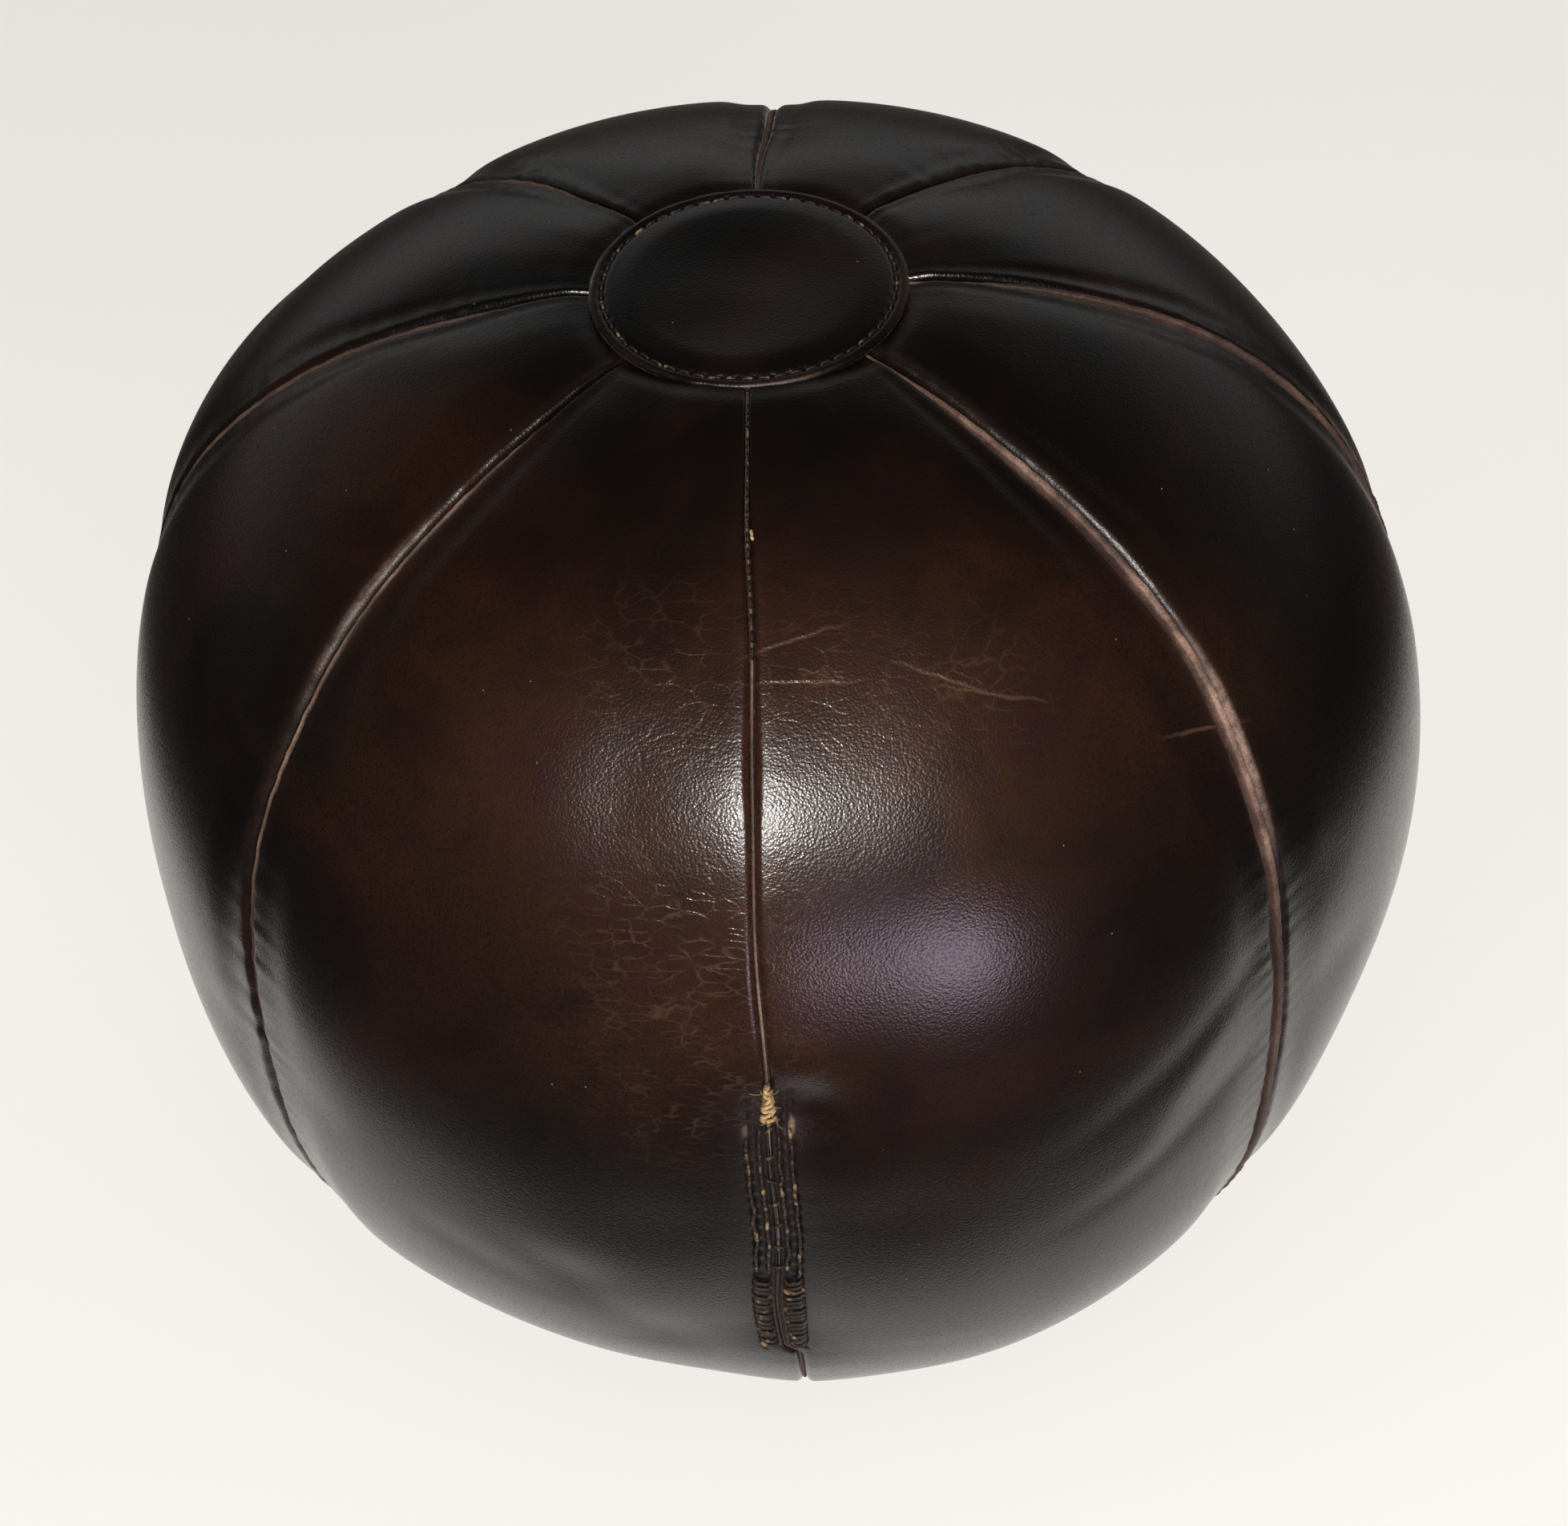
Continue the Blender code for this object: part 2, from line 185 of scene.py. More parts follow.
def on_form(colatitude, longitude, depth):
    """Points at a depth square under the uneven form."""
    out, up, normal_out, normal_up = meridian(colatitude)
    sink = depth - lumps(colatitude, longitude)
    radius = out - sink * normal_out
    height = CENTRE_HEIGHT + up - sink * normal_up
    return np.stack([radius * np.cos(longitude), radius * np.sin(longitude), height + 0 * radius], -1)


def form_normal(colatitude, longitude):
    _, _, normal_out, normal_up = meridian(colatitude)
    level = normal_out * np.cos(longitude), normal_out * np.sin(longitude)
    return np.stack([*level, normal_up + 0 * longitude], -1)


LENGTH_STOPS = np.linspace(0.001, math.pi - 0.001, 4001)
LENGTH_OUT, LENGTH_UP, _, _ = meridian(LENGTH_STOPS)
LENGTHS = np.concatenate([[0.0], np.cumsum(np.hypot(np.diff(LENGTH_OUT), np.diff(LENGTH_UP)))])


def skin_length(colatitude):
    """Length along the skin from the top pole."""
    return np.interp(colatitude, LENGTH_STOPS, LENGTHS)


def colatitude_at_length(length):
    return np.interp(length, LENGTHS, LENGTH_STOPS)


def colatitude_at_height(up):
    return np.interp(-np.asarray(up), -LENGTH_UP, LENGTH_STOPS)


def grid_quads(rows, columns, first=0, closed=False):
    """Quads between the points of a grid, numbered row by row from first; closed joins its sides."""
    row = np.arange(rows - 1)[:, None] * columns
    left = np.arange(columns if closed else columns - 1)[None, :]
    right = (left + 1) % columns
    corners = (row + left, row + columns + left, row + columns + right, row + right)
    return first + np.stack([corner.ravel() for corner in corners], -1)


def fan(tip, ring):
    """Triangles from a tip round a closed ring of point numbers."""
    return np.stack([np.full(len(ring), tip), ring, np.roll(ring, -1)], -1)


def add_piece(name, points, faces, finish, **attributes):
    """A smooth mesh object at the origin from points and a list of face arrays.

    Each further argument is a number for each point, kept as a mesh attribute for the material.
    """
    corners = np.concatenate([group.ravel() for group in faces]).astype(np.int32)
    sizes = np.concatenate([np.full(len(group), group.shape[1]) for group in faces])
    mesh = bpy.data.meshes.new(name)
    mesh.vertices.add(len(points))
    mesh.vertices.foreach_set("co", np.asarray(points, np.float32).ravel())
    mesh.loops.add(len(corners))
    mesh.loops.foreach_set("vertex_index", corners)
    mesh.polygons.add(len(sizes))
    mesh.polygons.foreach_set("loop_start", (np.cumsum(sizes) - sizes).astype(np.int32))
    mesh.update(calc_edges=True)
    for key, values in attributes.items():
        layer = mesh.attributes.new(key, "FLOAT", "POINT")
        layer.data.foreach_set("value", np.asarray(values, np.float32).ravel())
    mesh.shade_smooth()
    mesh.materials.append(finish)
    piece = bpy.data.objects.new(name, mesh)
    bpy.context.scene.collection.objects.link(piece)
    return piece


class Finish:
    """A material being mixed: each call adds a node and gives back what it puts out."""

    def __init__(self, name):
        self.material = bpy.data.materials.new(name)
        self.material.use_nodes = True
        self.tree = self.material.node_tree
        self.shader = self.tree.nodes["Principled BSDF"]
        self.place = self.tree.nodes.new("ShaderNodeTexCoord").outputs["Object"]

    def feed(self, socket, value):
        if isinstance(value, bpy.types.NodeSocket):
            self.tree.links.new(value, socket)
        elif isinstance(value, tuple) and socket.type == "RGBA":
            socket.default_value = (*value, 1.0)
        else:
            socket.default_value = value

    def set(self, **values):
        for key, value in values.items():
            self.feed(self.shader.inputs[key.replace("_", " ")], value)

    def maths(self, operation, *values):
        node = self.tree.nodes.new("ShaderNodeMath")
        node.operation = operation
        for socket, value in zip(node.inputs, values):
            self.feed(socket, value)
        return node.outputs["Value"]

    def vector(self, operation, *values):
        node = self.tree.nodes.new("ShaderNodeVectorMath")
        node.operation = operation
        for socket, value in zip(node.inputs, values):
            self.feed(socket, value)
        return node.outputs["Value" if operation in ("DOT_PRODUCT", "LENGTH") else "Vector"]

    def noise(self, scale, detail=3.0, rough=0.55, distort=0.0, output="Fac"):
        node = self.tree.nodes.new("ShaderNodeTexNoise")
        self.feed(node.inputs["Vector"], self.place)
        numbers = {"Scale": scale, "Detail": detail, "Roughness": rough, "Distortion": distort}
        for key, value in numbers.items():
            node.inputs[key].default_value = value
        return node.outputs[output]

    def cells(self, scale, feature="F1", place=None, output="Distance"):
        """Distance from the nearest of many scattered points, or from the border between their cells."""
        node = self.tree.nodes.new("ShaderNodeTexVoronoi")
        node.feature = feature
        self.feed(node.inputs["Vector"], place or self.place)
        node.inputs["Scale"].default_value = scale
        return node.outputs[output]

    def ramp(self, value, *stops):
        node = self.tree.nodes.new("ShaderNodeValToRGB")
        self.feed(node.inputs["Fac"], value)
        elements = node.color_ramp.elements
        for _ in stops[2:]:
            elements.new(0.5)
        for element, (spot, tone) in zip(elements, stops):
            element.position = spot
            element.color = (*tone, 1.0) if isinstance(tone, tuple) else (tone, tone, tone, 1.0)
        return node.outputs["Color"]

    def mix(self, share, first, second):
        node = self.tree.nodes.new("ShaderNodeMix")
        node.data_type = "RGBA"
        sockets = [socket for socket in node.inputs if socket.enabled]
        for socket, value in zip(sockets, (share, first, second)):
            self.feed(socket, value)
        return next(socket for socket in node.outputs if socket.enabled)

    def bump(self, height, distance):
        node = self.tree.nodes.new("ShaderNodeBump")
        self.feed(node.inputs["Height"], height)
        node.inputs["Strength"].default_value = 1.0
        node.inputs["Distance"].default_value = distance
        return node.outputs["Normal"]

    def attribute(self, name):
        node = self.tree.nodes.new("ShaderNodeAttribute")
        node.attribute_name = name
        return node.outputs["Fac"]


def hair_finish():
    """Curled animal hair: one tangled noise, from dark brown to grey-brown."""
    hair = Finish("stuffing_hair")
    strands = hair.noise(420.0, 5.0, 0.75, 2.5)
    hair.set(Base_Color=hair.ramp(strands, (0.3, (0.030, 0.018, 0.010)), (0.7, (0.190, 0.140, 0.095))))
    hair.set(Roughness=0.95, Normal=hair.bump(strands, 0.0008))
    return hair.material


def canvas_finish():
    """Unbleached cotton duck: small cells stand for the weave, with darker slubs."""
    canvas = Finish("canvas")
    slubs = canvas.noise(160.0, 4.0, 0.7)
    canvas.set(Base_Color=canvas.ramp(slubs, (0.3, (0.300, 0.245, 0.165)), (0.7, (0.520, 0.450, 0.330))))
    canvas.set(Roughness=0.92, Normal=canvas.bump(canvas.cells(700.0), 0.0003))
    return canvas.material


LINING_THICKNESS = 0.001
LINING_ASIDE = 0.0052  # of a seam, past both turned edges
LINING_SEAM_DEPTH = 0.0106  # under the line of stitches
LINING_POLE_DEPTH = 0.0130  # under the backing discs
LINING_CLEARANCE = 0.0020  # under the middle of a gore
GORE_END = colatitude_at_radius(0.028)  # under the caps


def bag_points(extra_depth, rows=90, across=9):
    """A closed grid round the bag: level over each gore, with a dip under each seam and each pole."""
    colatitude = np.linspace(GORE_END, math.pi - GORE_END, rows)[:, None]
    out = meridian(colatitude)[0]
    at_pole = 1 - soft_step(out, 0.044, 0.056)
    around = []
    for gore in range(GORE_COUNT):
        start, stop = seam_longitude(gore), seam_longitude(gore + 1)
        edge = np.arcsin(LINING_ASIDE / out)
        share = np.linspace(0.01, 1, across)[None, :]
        crown_longitudes = start + edge + (stop - start - 2 * edge) * share
        longitude = np.hstack([start - edge, start + edge, crown_longitudes])
        crown = GORE_THICKNESS + LINING_CLEARANCE
        depth = np.hstack([np.full((1, 2), LINING_SEAM_DEPTH), np.full((1, across), crown)])
        depth = depth + (LINING_POLE_DEPTH - depth) * at_pole + extra_depth
        around.append(on_form(colatitude, longitude, depth)[:, : across + 1])
    return np.concatenate(around, axis=1)


def closed_bag(grid):
    """Points and faces of a bag from its grid, closed by a fan at each pole."""
    rows, columns = grid.shape[:2]
    poles = np.array([[0, 0, grid[0, :, 2].mean()], [0, 0, grid[-1, :, 2].mean()]])
    top = np.arange(columns)
    bottom = top + (rows - 1) * columns
    count = rows * columns
    faces = [grid_quads(rows, columns, closed=True), fan(count, top), fan(count + 1, bottom[::-1])]
    return np.concatenate([grid.reshape(-1, 3), poles]), faces


# How far each seam has strayed counter-clockwise, seen from above, from its even place every 45
# degrees. The first seam is at -Y and holds the mouth.
SEAM_DRIFT_DEG = (0.0, 3.5, 4.0, 2.0, -2.0, -2.5, -2.5, -4.5)


def seam_longitude(seam):
    turns, index = divmod(seam, GORE_COUNT)
    return math.radians(-90 + 45 * index + 360 * turns + SEAM_DRIFT_DEG[index])


HAIR = hair_finish()
CANVAS = canvas_finish()
for bag, node, slot, finish, depth in (
    ("canvas_bag", "canvas_lining", "canvas", CANVAS, 0.0),
    ("hair_stuffing", "stuffing", "stuffing", HAIR, LINING_THICKNESS + CAP_LIFT),
):
    points, faces = closed_bag(bag_points(depth))
    if bag == "canvas_bag":
        inner_points, inner_faces = closed_bag(bag_points(LINING_THICKNESS))
        faces += [group[:, ::-1] + len(points) for group in inner_faces]
        points = np.concatenate([points, inner_points])
    piece = add_piece(bag, points, faces, finish)
    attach(piece, "root")
    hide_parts(node)

# ---------------------------------------------------------------------------------------------------
# Gores
# Eight lens-shaped panels of waxed espresso leather, 3 mm thick. Both long edges are turned in and
# sewn through a welt, so each panel rolls down into its seams and swells over the stuffing between.
# ---------------------------------------------------------------------------------------------------
ROLL_SHARE_AT_POLE = 0.55  # of its radius and dip, where a seam meets the cap
MOUTH_TOP = 0.047  # over the equator
MOUTH_BOTTOM = -0.060
MOUTH_LIP = 0.0003
MOUTH_ROLL = 0.0015
INNER_ROW = 0.0023  # of stitches, from the slit
OUTER_ROW = 0.0053
MOUTH_PITCH = 0.0044
MOUTH_BARS_TOP = -0.025
INNER_ROW_TOP = MOUTH_TOP - 0.011
OUTER_ROW_TOP = MOUTH_TOP - 0.014
STRIP_MIDDLE = (INNER_ROW + OUTER_ROW) / 2  # of the padded strip between the rows
SEAM_JOG = 0.0034  # of the mouth's seam to the right, below the mouth
SEAM_WANDER = 0.0005
PUCKER_PITCH = 0.0085
PUCKER_REACH = 0.0055
PUCKER_DEPTH = 0.00016
TAUT_PUCKER_DEPTH = 0.00004  # of the front seam
CAP_RADIUS = (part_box("top_cap")[1].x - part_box("top_cap")[0].x) / 2

# Each seam as it was sewn and has worn: half-gap between the turned edges, roll radius, dip and its
# reach, rise of the edge on the counter-clockwise and the clockwise side, and wear on the same two
SEAMS = (
    (0.00045, 0.0019, 0.0000, 0.0170, 0.0000, 0.0000, 0.12, 0.10),
    (0.00122, 0.0026, 0.0008, 0.0130, 0.0006, 0.0000, 1.00, 0.45),
    (0.00120, 0.0028, 0.0012, 0.0150, 0.0008, 0.0004, 0.14, 0.28),
    (0.00090, 0.0030, 0.0012, 0.0150, 0.0000, 0.0004, 0.20, 0.35),
    (0.00090, 0.0028, 0.0010, 0.0140, 0.0000, 0.0000, 0.20, 0.20),
    (0.00080, 0.0028, 0.0012, 0.0150, 0.0004, 0.0000, 0.35, 0.20),
    (0.00080, 0.0028, 0.0013, 0.0150, 0.0004, 0.0006, 0.22, 0.10),
    (0.00060, 0.0022, 0.0007, 0.0110, 0.0000, 0.0003, 0.35, 0.60),
)


def mouth_share(colatitude, blend=0.0020):
    """1 inside the mouth's length and 0 outside it, with a soft step at each end."""
    up = meridian(colatitude)[1]
    top = 1 - soft_step(up, MOUTH_TOP - blend, MOUTH_TOP + blend)
    return top * soft_step(up, MOUTH_BOTTOM - blend, MOUTH_BOTTOM + blend)


def seam_base(seam, colatitude):
    """Longitude of a seam's middle, which strays a little, and jogs aside below the mouth."""
    out, up, _, _ = meridian(colatitude)
    stray = SEAM_WANDER * line_waves(skin_length(colatitude), 0.09, seed=30 + seam % GORE_COUNT)
    stray = stray * soft_step(out, 0.040, 0.080)
    if seam % GORE_COUNT == 0:
        stray = stray + SEAM_JOG * (1 - soft_step(up, MOUTH_BOTTOM - 0.0045, MOUTH_BOTTOM + 0.0005))
        stray = stray * soft_step(out, 0.030, 0.120)
    return seam_longitude(seam) + stray / out


def seam_place(seam, colatitude, aside, depth):
    """Points at a distance aside of a seam and at a depth square under the uneven form."""
    base = seam_base(seam, colatitude)
    out, _, normal_out, _ = meridian(colatitude)
    radius = out - depth * normal_out
    return on_form(colatitude, base + np.arcsin(np.clip(aside / radius, -0.9, 0.9)), depth)


def seam_form(seam, colatitude):
    """Half-gap and roll radius of a seam's edges, and the share that they shrink to near the poles."""
    lip, roll = SEAMS[seam % GORE_COUNT][:2]
    out = meridian(colatitude)[0]
    share = ROLL_SHARE_AT_POLE + (1 - ROLL_SHARE_AT_POLE) * soft_step(out, 0.035, 0.095)
    uneven = 1 + 0.12 * line_waves(skin_length(colatitude), 0.045, seed=70 + seam % GORE_COUNT)
    lip, roll = lip * share, roll * share * uneven
    if seam % GORE_COUNT == 0:
        mouth = mouth_share(colatitude)
        lip, roll = lip + (MOUTH_LIP - lip) * mouth, roll + (MOUTH_ROLL - roll) * mouth
    return lip, roll, share


def turned_edge(seam, rows, inset, wall_points=3, turn_points=9):
    """One turned edge as (aside, depth) grids, from its cut end to the crown.

    It runs up parallel to the seam, then round a quarter circle of the roll's radius; an inset keeps
    the inner face inside that.
    """
    lip, roll, _ = (value[:, None] for value in seam_form(seam, rows))
    skin = np.minimum(inset, roll * 0.7)
    wall = np.linspace(0, 1, wall_points + 1)[None, :-1]
    turn = np.linspace(0, math.pi / 2, turn_points)[None, :]
    aside = np.hstack([lip + inset + 0 * wall, lip + roll - (roll - skin) * np.cos(turn)])
    aside = np.maximum(aside, lip + skin)
    wall_depth = ALLOWANCE_DEPTH + (roll - ALLOWANCE_DEPTH) * wall
    depth = np.hstack([wall_depth, roll - (roll - skin) * np.sin(turn)])
    if inset:
        depth[:, wall_points:] += (inset - skin) * np.sin(turn)
        aside[:, wall_points:] += (inset - skin) * np.cos(turn)
    return aside, depth


def row_phase(side, row):
    """How far a row's holes are shifted along the mouth, as an angle with one turn for each stitch."""
    return 0.9 * side + 1.7 * row


def stitch_beat(length, side, row):
    """1 at each stitch hole of a row along the mouth and 0 halfway between two holes."""
    return 0.5 + 0.5 * np.cos(2 * np.pi * length / MOUTH_PITCH + row_phase(side, row))


def skin_relief(seam, side, distance, colatitude):
    """Depth of the skin beside a seam, as a function of the distance from it.

    A dip exp(-distance / reach) less the rise of the worn edge, with puckers along the roll. The front
    seam has mouth_relief as well.
    """
    seam %= GORE_COUNT
    _, _, sink, reach, rise_first, rise_last, _, _ = SEAMS[seam]
    rise = rise_first if side > 0 else rise_last
    share = seam_form(seam, colatitude)[2]
    length = skin_length(colatitude)
    depth = share * (sink * np.exp(-distance / reach) - rise * np.exp(-((distance / 0.0055) ** 2)))
    pucker = line_waves(length, PUCKER_PITCH, seed=110 + 2 * seam + (side > 0))
    pucker_depth = PUCKER_DEPTH if seam else TAUT_PUCKER_DEPTH
    depth = depth + pucker_depth * share * pucker * np.exp(-distance / PUCKER_REACH)
    return depth if seam else depth + mouth_relief(side, distance, colatitude)


def mouth_relief(side, distance, colatitude):
    """Further depth of the skin beside the front seam, as a sum of bells exp(-(distance / reach)^2).

    Above and below the mouth the seam rides on a broad ridge. Along the mouth it lies in a bed, with two
    grooves that are deepest at the stitch holes and a padded strip between them. The top of the mouth is
    pinched, with a hollow on the counter-clockwise side.
    """
    up = meridian(colatitude)[1]
    length = skin_length(colatitude)
    proud = 1 - mouth_share(colatitude, blend=0.014)
    ridge = 0.0016 * proud * np.exp(-((distance / 0.019) ** 2))
    bed = 0.0014 * (1 - proud) * np.exp(-((distance / 0.0125) ** 2))
    trough = 0 * distance
    for row, place in enumerate((INNER_ROW, OUTER_ROW)):
        beat = stitch_beat(length, side, row)
        trough = trough + np.exp(-(((distance - place) / 0.0008) ** 2)) * (0.00025 + 0.00060 * beat)
    strip = np.exp(-(((distance - STRIP_MIDDLE) / 0.0011) ** 2))
    trough = trough - strip * (0.00025 + 0.00022 * np.cos(2 * np.pi * length / MOUTH_PITCH + side))
    pinch = 0.0007 * np.exp(-(((up - MOUTH_TOP) / 0.009) ** 2) - (distance / 0.006) ** 2)
    depth = bed - ridge + mouth_share(colatitude) * trough + pinch
    if side > 0:
        hollow = ((distance - 0.009) / 0.0090) ** 2 + ((up - MOUTH_TOP + 0.008) / 0.011) ** 2
        depth = depth + 0.0026 * np.exp(-hollow)
    return depth


def pole_fill(out):
    """Height of the stuffing's flat shoulder round each cap, over the even form."""
    return 0.0016 * soft_step(out, 0.010, 0.036) * np.exp(-((np.maximum(out - 0.036, 0) / 0.034) ** 2))


def cap_swell(colatitude):
    """Height of the ring of skin that swells up round each cap, shoulder and all."""
    out = meridian(colatitude)[0]
    ring = 0.0009 * soft_step(out, 0.0385, 0.045) * np.exp(-(((out - 0.045) / 0.022) ** 2))
    return pole_fill(out) + ring


def gore_rows(beside_mouth):
    """Colatitudes of a gore's rows, even along the skin and closer beside the mouth."""
    length = np.linspace(skin_length(GORE_END), skin_length(math.pi - GORE_END), 4001)
    weight = 1 + 0 * length
    if beside_mouth:
        weight = weight + 1.1 * mouth_share(colatitude_at_length(length), blend=0.006)
    spent = np.concatenate([[0.0], np.cumsum((weight[1:] + weight[:-1]) / 2 * np.diff(length))])
    count = 470 if beside_mouth else 330
    return colatitude_at_length(np.interp(np.linspace(0, spent[-1], count), spent, length))


def crown_shares(fine_start, fine_stop):
    """Shares of the way across a crown, closer together at both seams.

    From a plain seam they are c^1.6 / 2 for even c from 0 to 1; beside the mouth, 30 even steps cover
    the first tenth, and c^1.35 the rest.
    """
    plain = np.linspace(0, 1, 33)[1:] ** 1.6 / 2
    fine_share = 0.105
    rest = fine_share + (0.5 - fine_share) * np.linspace(0, 1, 15)[1:] ** 1.35
    close = np.concatenate([np.linspace(0, fine_share, 31)[1:], rest])
    first = close if fine_start else plain
    last = close if fine_stop else plain
    return np.concatenate([first, 1 - last[-2::-1]])


def cubic_weights(places, count):
    """Weights that read count even samples at places from 0 to 1 with a smooth cubic B-spline."""
    spot = places * (count - 1)
    cell = np.clip(np.floor(spot).astype(int), 0, count - 2)
    t = spot - cell
    parts = ((1 - t) ** 3 / 6, (3 * t**3 - 6 * t**2 + 4) / 6, (3 * t * (1 + t - t * t) + 1) / 6, t**3 / 6)
    weights = np.zeros((len(places), count))
    for offset, part in zip((-1, 0, 1, 2), parts):
        np.add.at(weights, (np.arange(len(places)), np.clip(cell + offset, 0, count - 1)), part)
    return weights


def crown_longitude(gore, colatitude, share):
    """Longitudes across a gore, at shares of the way from the middle of one seam to the next."""
    start, stop = seam_base(gore, colatitude), seam_base(gore + 1, colatitude)
    return start + (stop - start) * share


CLOTH_ROWS = 96
CLOTH_COLUMNS = 27
CLOTH_STEPS = 20
CLOTH_LENGTHS = np.linspace(skin_length(GORE_END), skin_length(math.pi - GORE_END), CLOTH_ROWS)
CLOTH_INSET = 0.03  # from the middles of both seams, as a share of the way between them
CLOTH_SHARES = np.linspace(CLOTH_INSET, 1 - CLOTH_INSET, CLOTH_COLUMNS)
SWELL_LOW = -0.001
SWELL_CAP = 0.0045
SMOOTHINGS = 3  # as leather is too thick for the finest gathers of a cloth


def cloth_swell():
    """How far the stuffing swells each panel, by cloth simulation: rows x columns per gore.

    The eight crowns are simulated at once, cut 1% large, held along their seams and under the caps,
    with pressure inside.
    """
    colatitude = colatitude_at_length(CLOTH_LENGTHS)[:, None]
    share = CLOTH_SHARES[None, :]
    count = CLOTH_ROWS * CLOTH_COLUMNS
    points, faces, normals = [], [], []
    for gore in range(GORE_COUNT):
        longitude = crown_longitude(gore, colatitude, share)
        points.append(on_form(colatitude, longitude, 0.0).reshape(-1, 3))
        normals.append(form_normal(colatitude, longitude).reshape(-1, 3))
        faces.append(grid_quads(CLOTH_ROWS, CLOTH_COLUMNS, first=gore * count))
    points, normals = np.concatenate(points), np.concatenate(normals)
    cloth = add_piece("gore_cloth", points, faces, HAIR)
    out = np.tile(meridian(colatitude_at_length(CLOTH_LENGTHS))[0].repeat(CLOTH_COLUMNS), GORE_COUNT)
    column = np.tile(np.arange(CLOTH_COLUMNS), CLOTH_ROWS * GORE_COUNT)
    held = (column < 1) | (column > CLOTH_COLUMNS - 2) | (out < CAP_RADIUS + 0.003)
    group = cloth.vertex_groups.new(name="held")
    group.add(np.flatnonzero(held).tolist(), 1.0, "REPLACE")
    modifier = cloth.modifiers.new("cloth", "CLOTH")
    settings = modifier.settings
    settings.quality = 6
    settings.mass = 0.4
    settings.tension_stiffness = settings.compression_stiffness = 22.0
    settings.shear_stiffness = 10.0
    settings.bending_stiffness = 3.0
    settings.tension_damping = settings.compression_damping = 12.0
    settings.vertex_group_mass = "held"
    settings.use_pressure = True
    settings.uniform_pressure_force = 4.0
    settings.shrink_min = -0.010
    settings.effector_weights.gravity = 0.0
    modifier.point_cache.frame_start = 1
    modifier.point_cache.frame_end = CLOTH_STEPS
    for step in range(1, CLOTH_STEPS + 1):
        bpy.context.scene.frame_set(step)
    settled = cloth.evaluated_get(bpy.context.evaluated_depsgraph_get()).data
    moved = np.empty(len(points) * 3, np.float32)
    settled.vertices.foreach_get("co", moved)
    rise = ((moved.reshape(-1, 3) - points) * normals).sum(-1)
    bpy.context.scene.frame_set(1)
    bpy.data.objects.remove(cloth, do_unlink=True)
    return np.clip(rise, SWELL_LOW, SWELL_CAP).reshape(GORE_COUNT, CLOTH_ROWS, CLOTH_COLUMNS)


SWELL = cloth_swell()
for _ in range(SMOOTHINGS):
    SWELL[:, :, 1:-1] = (SWELL[:, :, :-2] + 2 * SWELL[:, :, 1:-1] + SWELL[:, :, 2:]) / 4
    SWELL[:, 1:-1] = (SWELL[:, :-2] + 2 * SWELL[:, 1:-1] + SWELL[:, 2:]) / 4


def swell_across(gore, rows, share):
    """The swell of a gore at its rows and at shares of the way across, eased out at both seams.

    It eases out over a longer way at the front seam, where the leather is taut.
    """
    span = CLOTH_LENGTHS[-1] - CLOTH_LENGTHS[0]
    down = cubic_weights((skin_length(rows) - CLOTH_LENGTHS[0]) / span, CLOTH_ROWS)
    across = cubic_weights(np.clip((share - CLOTH_INSET) / (1 - 2 * CLOTH_INSET), 0, 1), CLOTH_COLUMNS)
    first_reach = 0.45 if gore == 0 else 0.12
    last_reach = 0.45 if gore == GORE_COUNT - 1 else 0.12
    edge = soft_step(share, 0.0, first_reach) * soft_step(1 - share, 0.0, last_reach)
    return down @ SWELL[gore] @ across.T * edge[None, :]


def gore_face(gore, rows, inset):
    """Points of a gore's outer face (inset 0) or inner face, and their distances from both seams.

    The two turned edges and the crown between them lie side by side on the form. They rise along its
    normal by the swell less the relief, fully at the crown and less down the turned edges.
    """
    shares = crown_shares(gore == 0, gore == GORE_COUNT - 1)
    first_aside, first_depth = turned_edge(gore, rows, inset)
    last_aside, last_depth = turned_edge(gore + 1, rows, inset)
    colatitude = rows[:, None]
    out = meridian(colatitude)[0]
    start, stop = seam_base(gore, colatitude), seam_base(gore + 1, colatitude)
    first_edge = np.arcsin(first_aside[:, -1:] / out)
    last_edge = np.arcsin(last_aside[:, -1:] / out)
    longitude = start + first_edge + (stop - start - first_edge - last_edge) * shares[None, :-1]
    from_first = seam_place(gore, colatitude, first_aside, first_depth)
    from_last = seam_place(gore + 1, colatitude, -last_aside[:, ::-1], last_depth[:, ::-1])
    points = np.concatenate([from_first, on_form(colatitude, longitude, inset), from_last], axis=1)
    first = np.hstack([first_aside, out * (longitude - start), out * (stop - start) - last_aside[:, ::-1]])
    last = out * (stop - start) - first
    depth = np.hstack([first_depth, inset + 0 * longitude, last_depth[:, ::-1]])
    around = np.arctan2(points[..., 1], points[..., 0])
    at_crown = np.clip(1.25 - 1.25 * (depth - inset) / ALLOWANCE_DEPTH, 0, 1)
    relief = skin_relief(gore, 1, np.abs(first), colatitude)
    relief = relief + skin_relief(gore + 1, -1, np.abs(last), colatitude)
    if inset:
        relief = relief * 0.3
    edge_columns = first_aside.shape[1], last_aside.shape[1]
    swell = np.pad(swell_across(gore, rows, shares[:-1]), ((0, 0), edge_columns))
    rise = (swell + cap_swell(colatitude) - relief) * at_crown
    return points + rise[..., None] * form_normal(colatitude, around), first, last


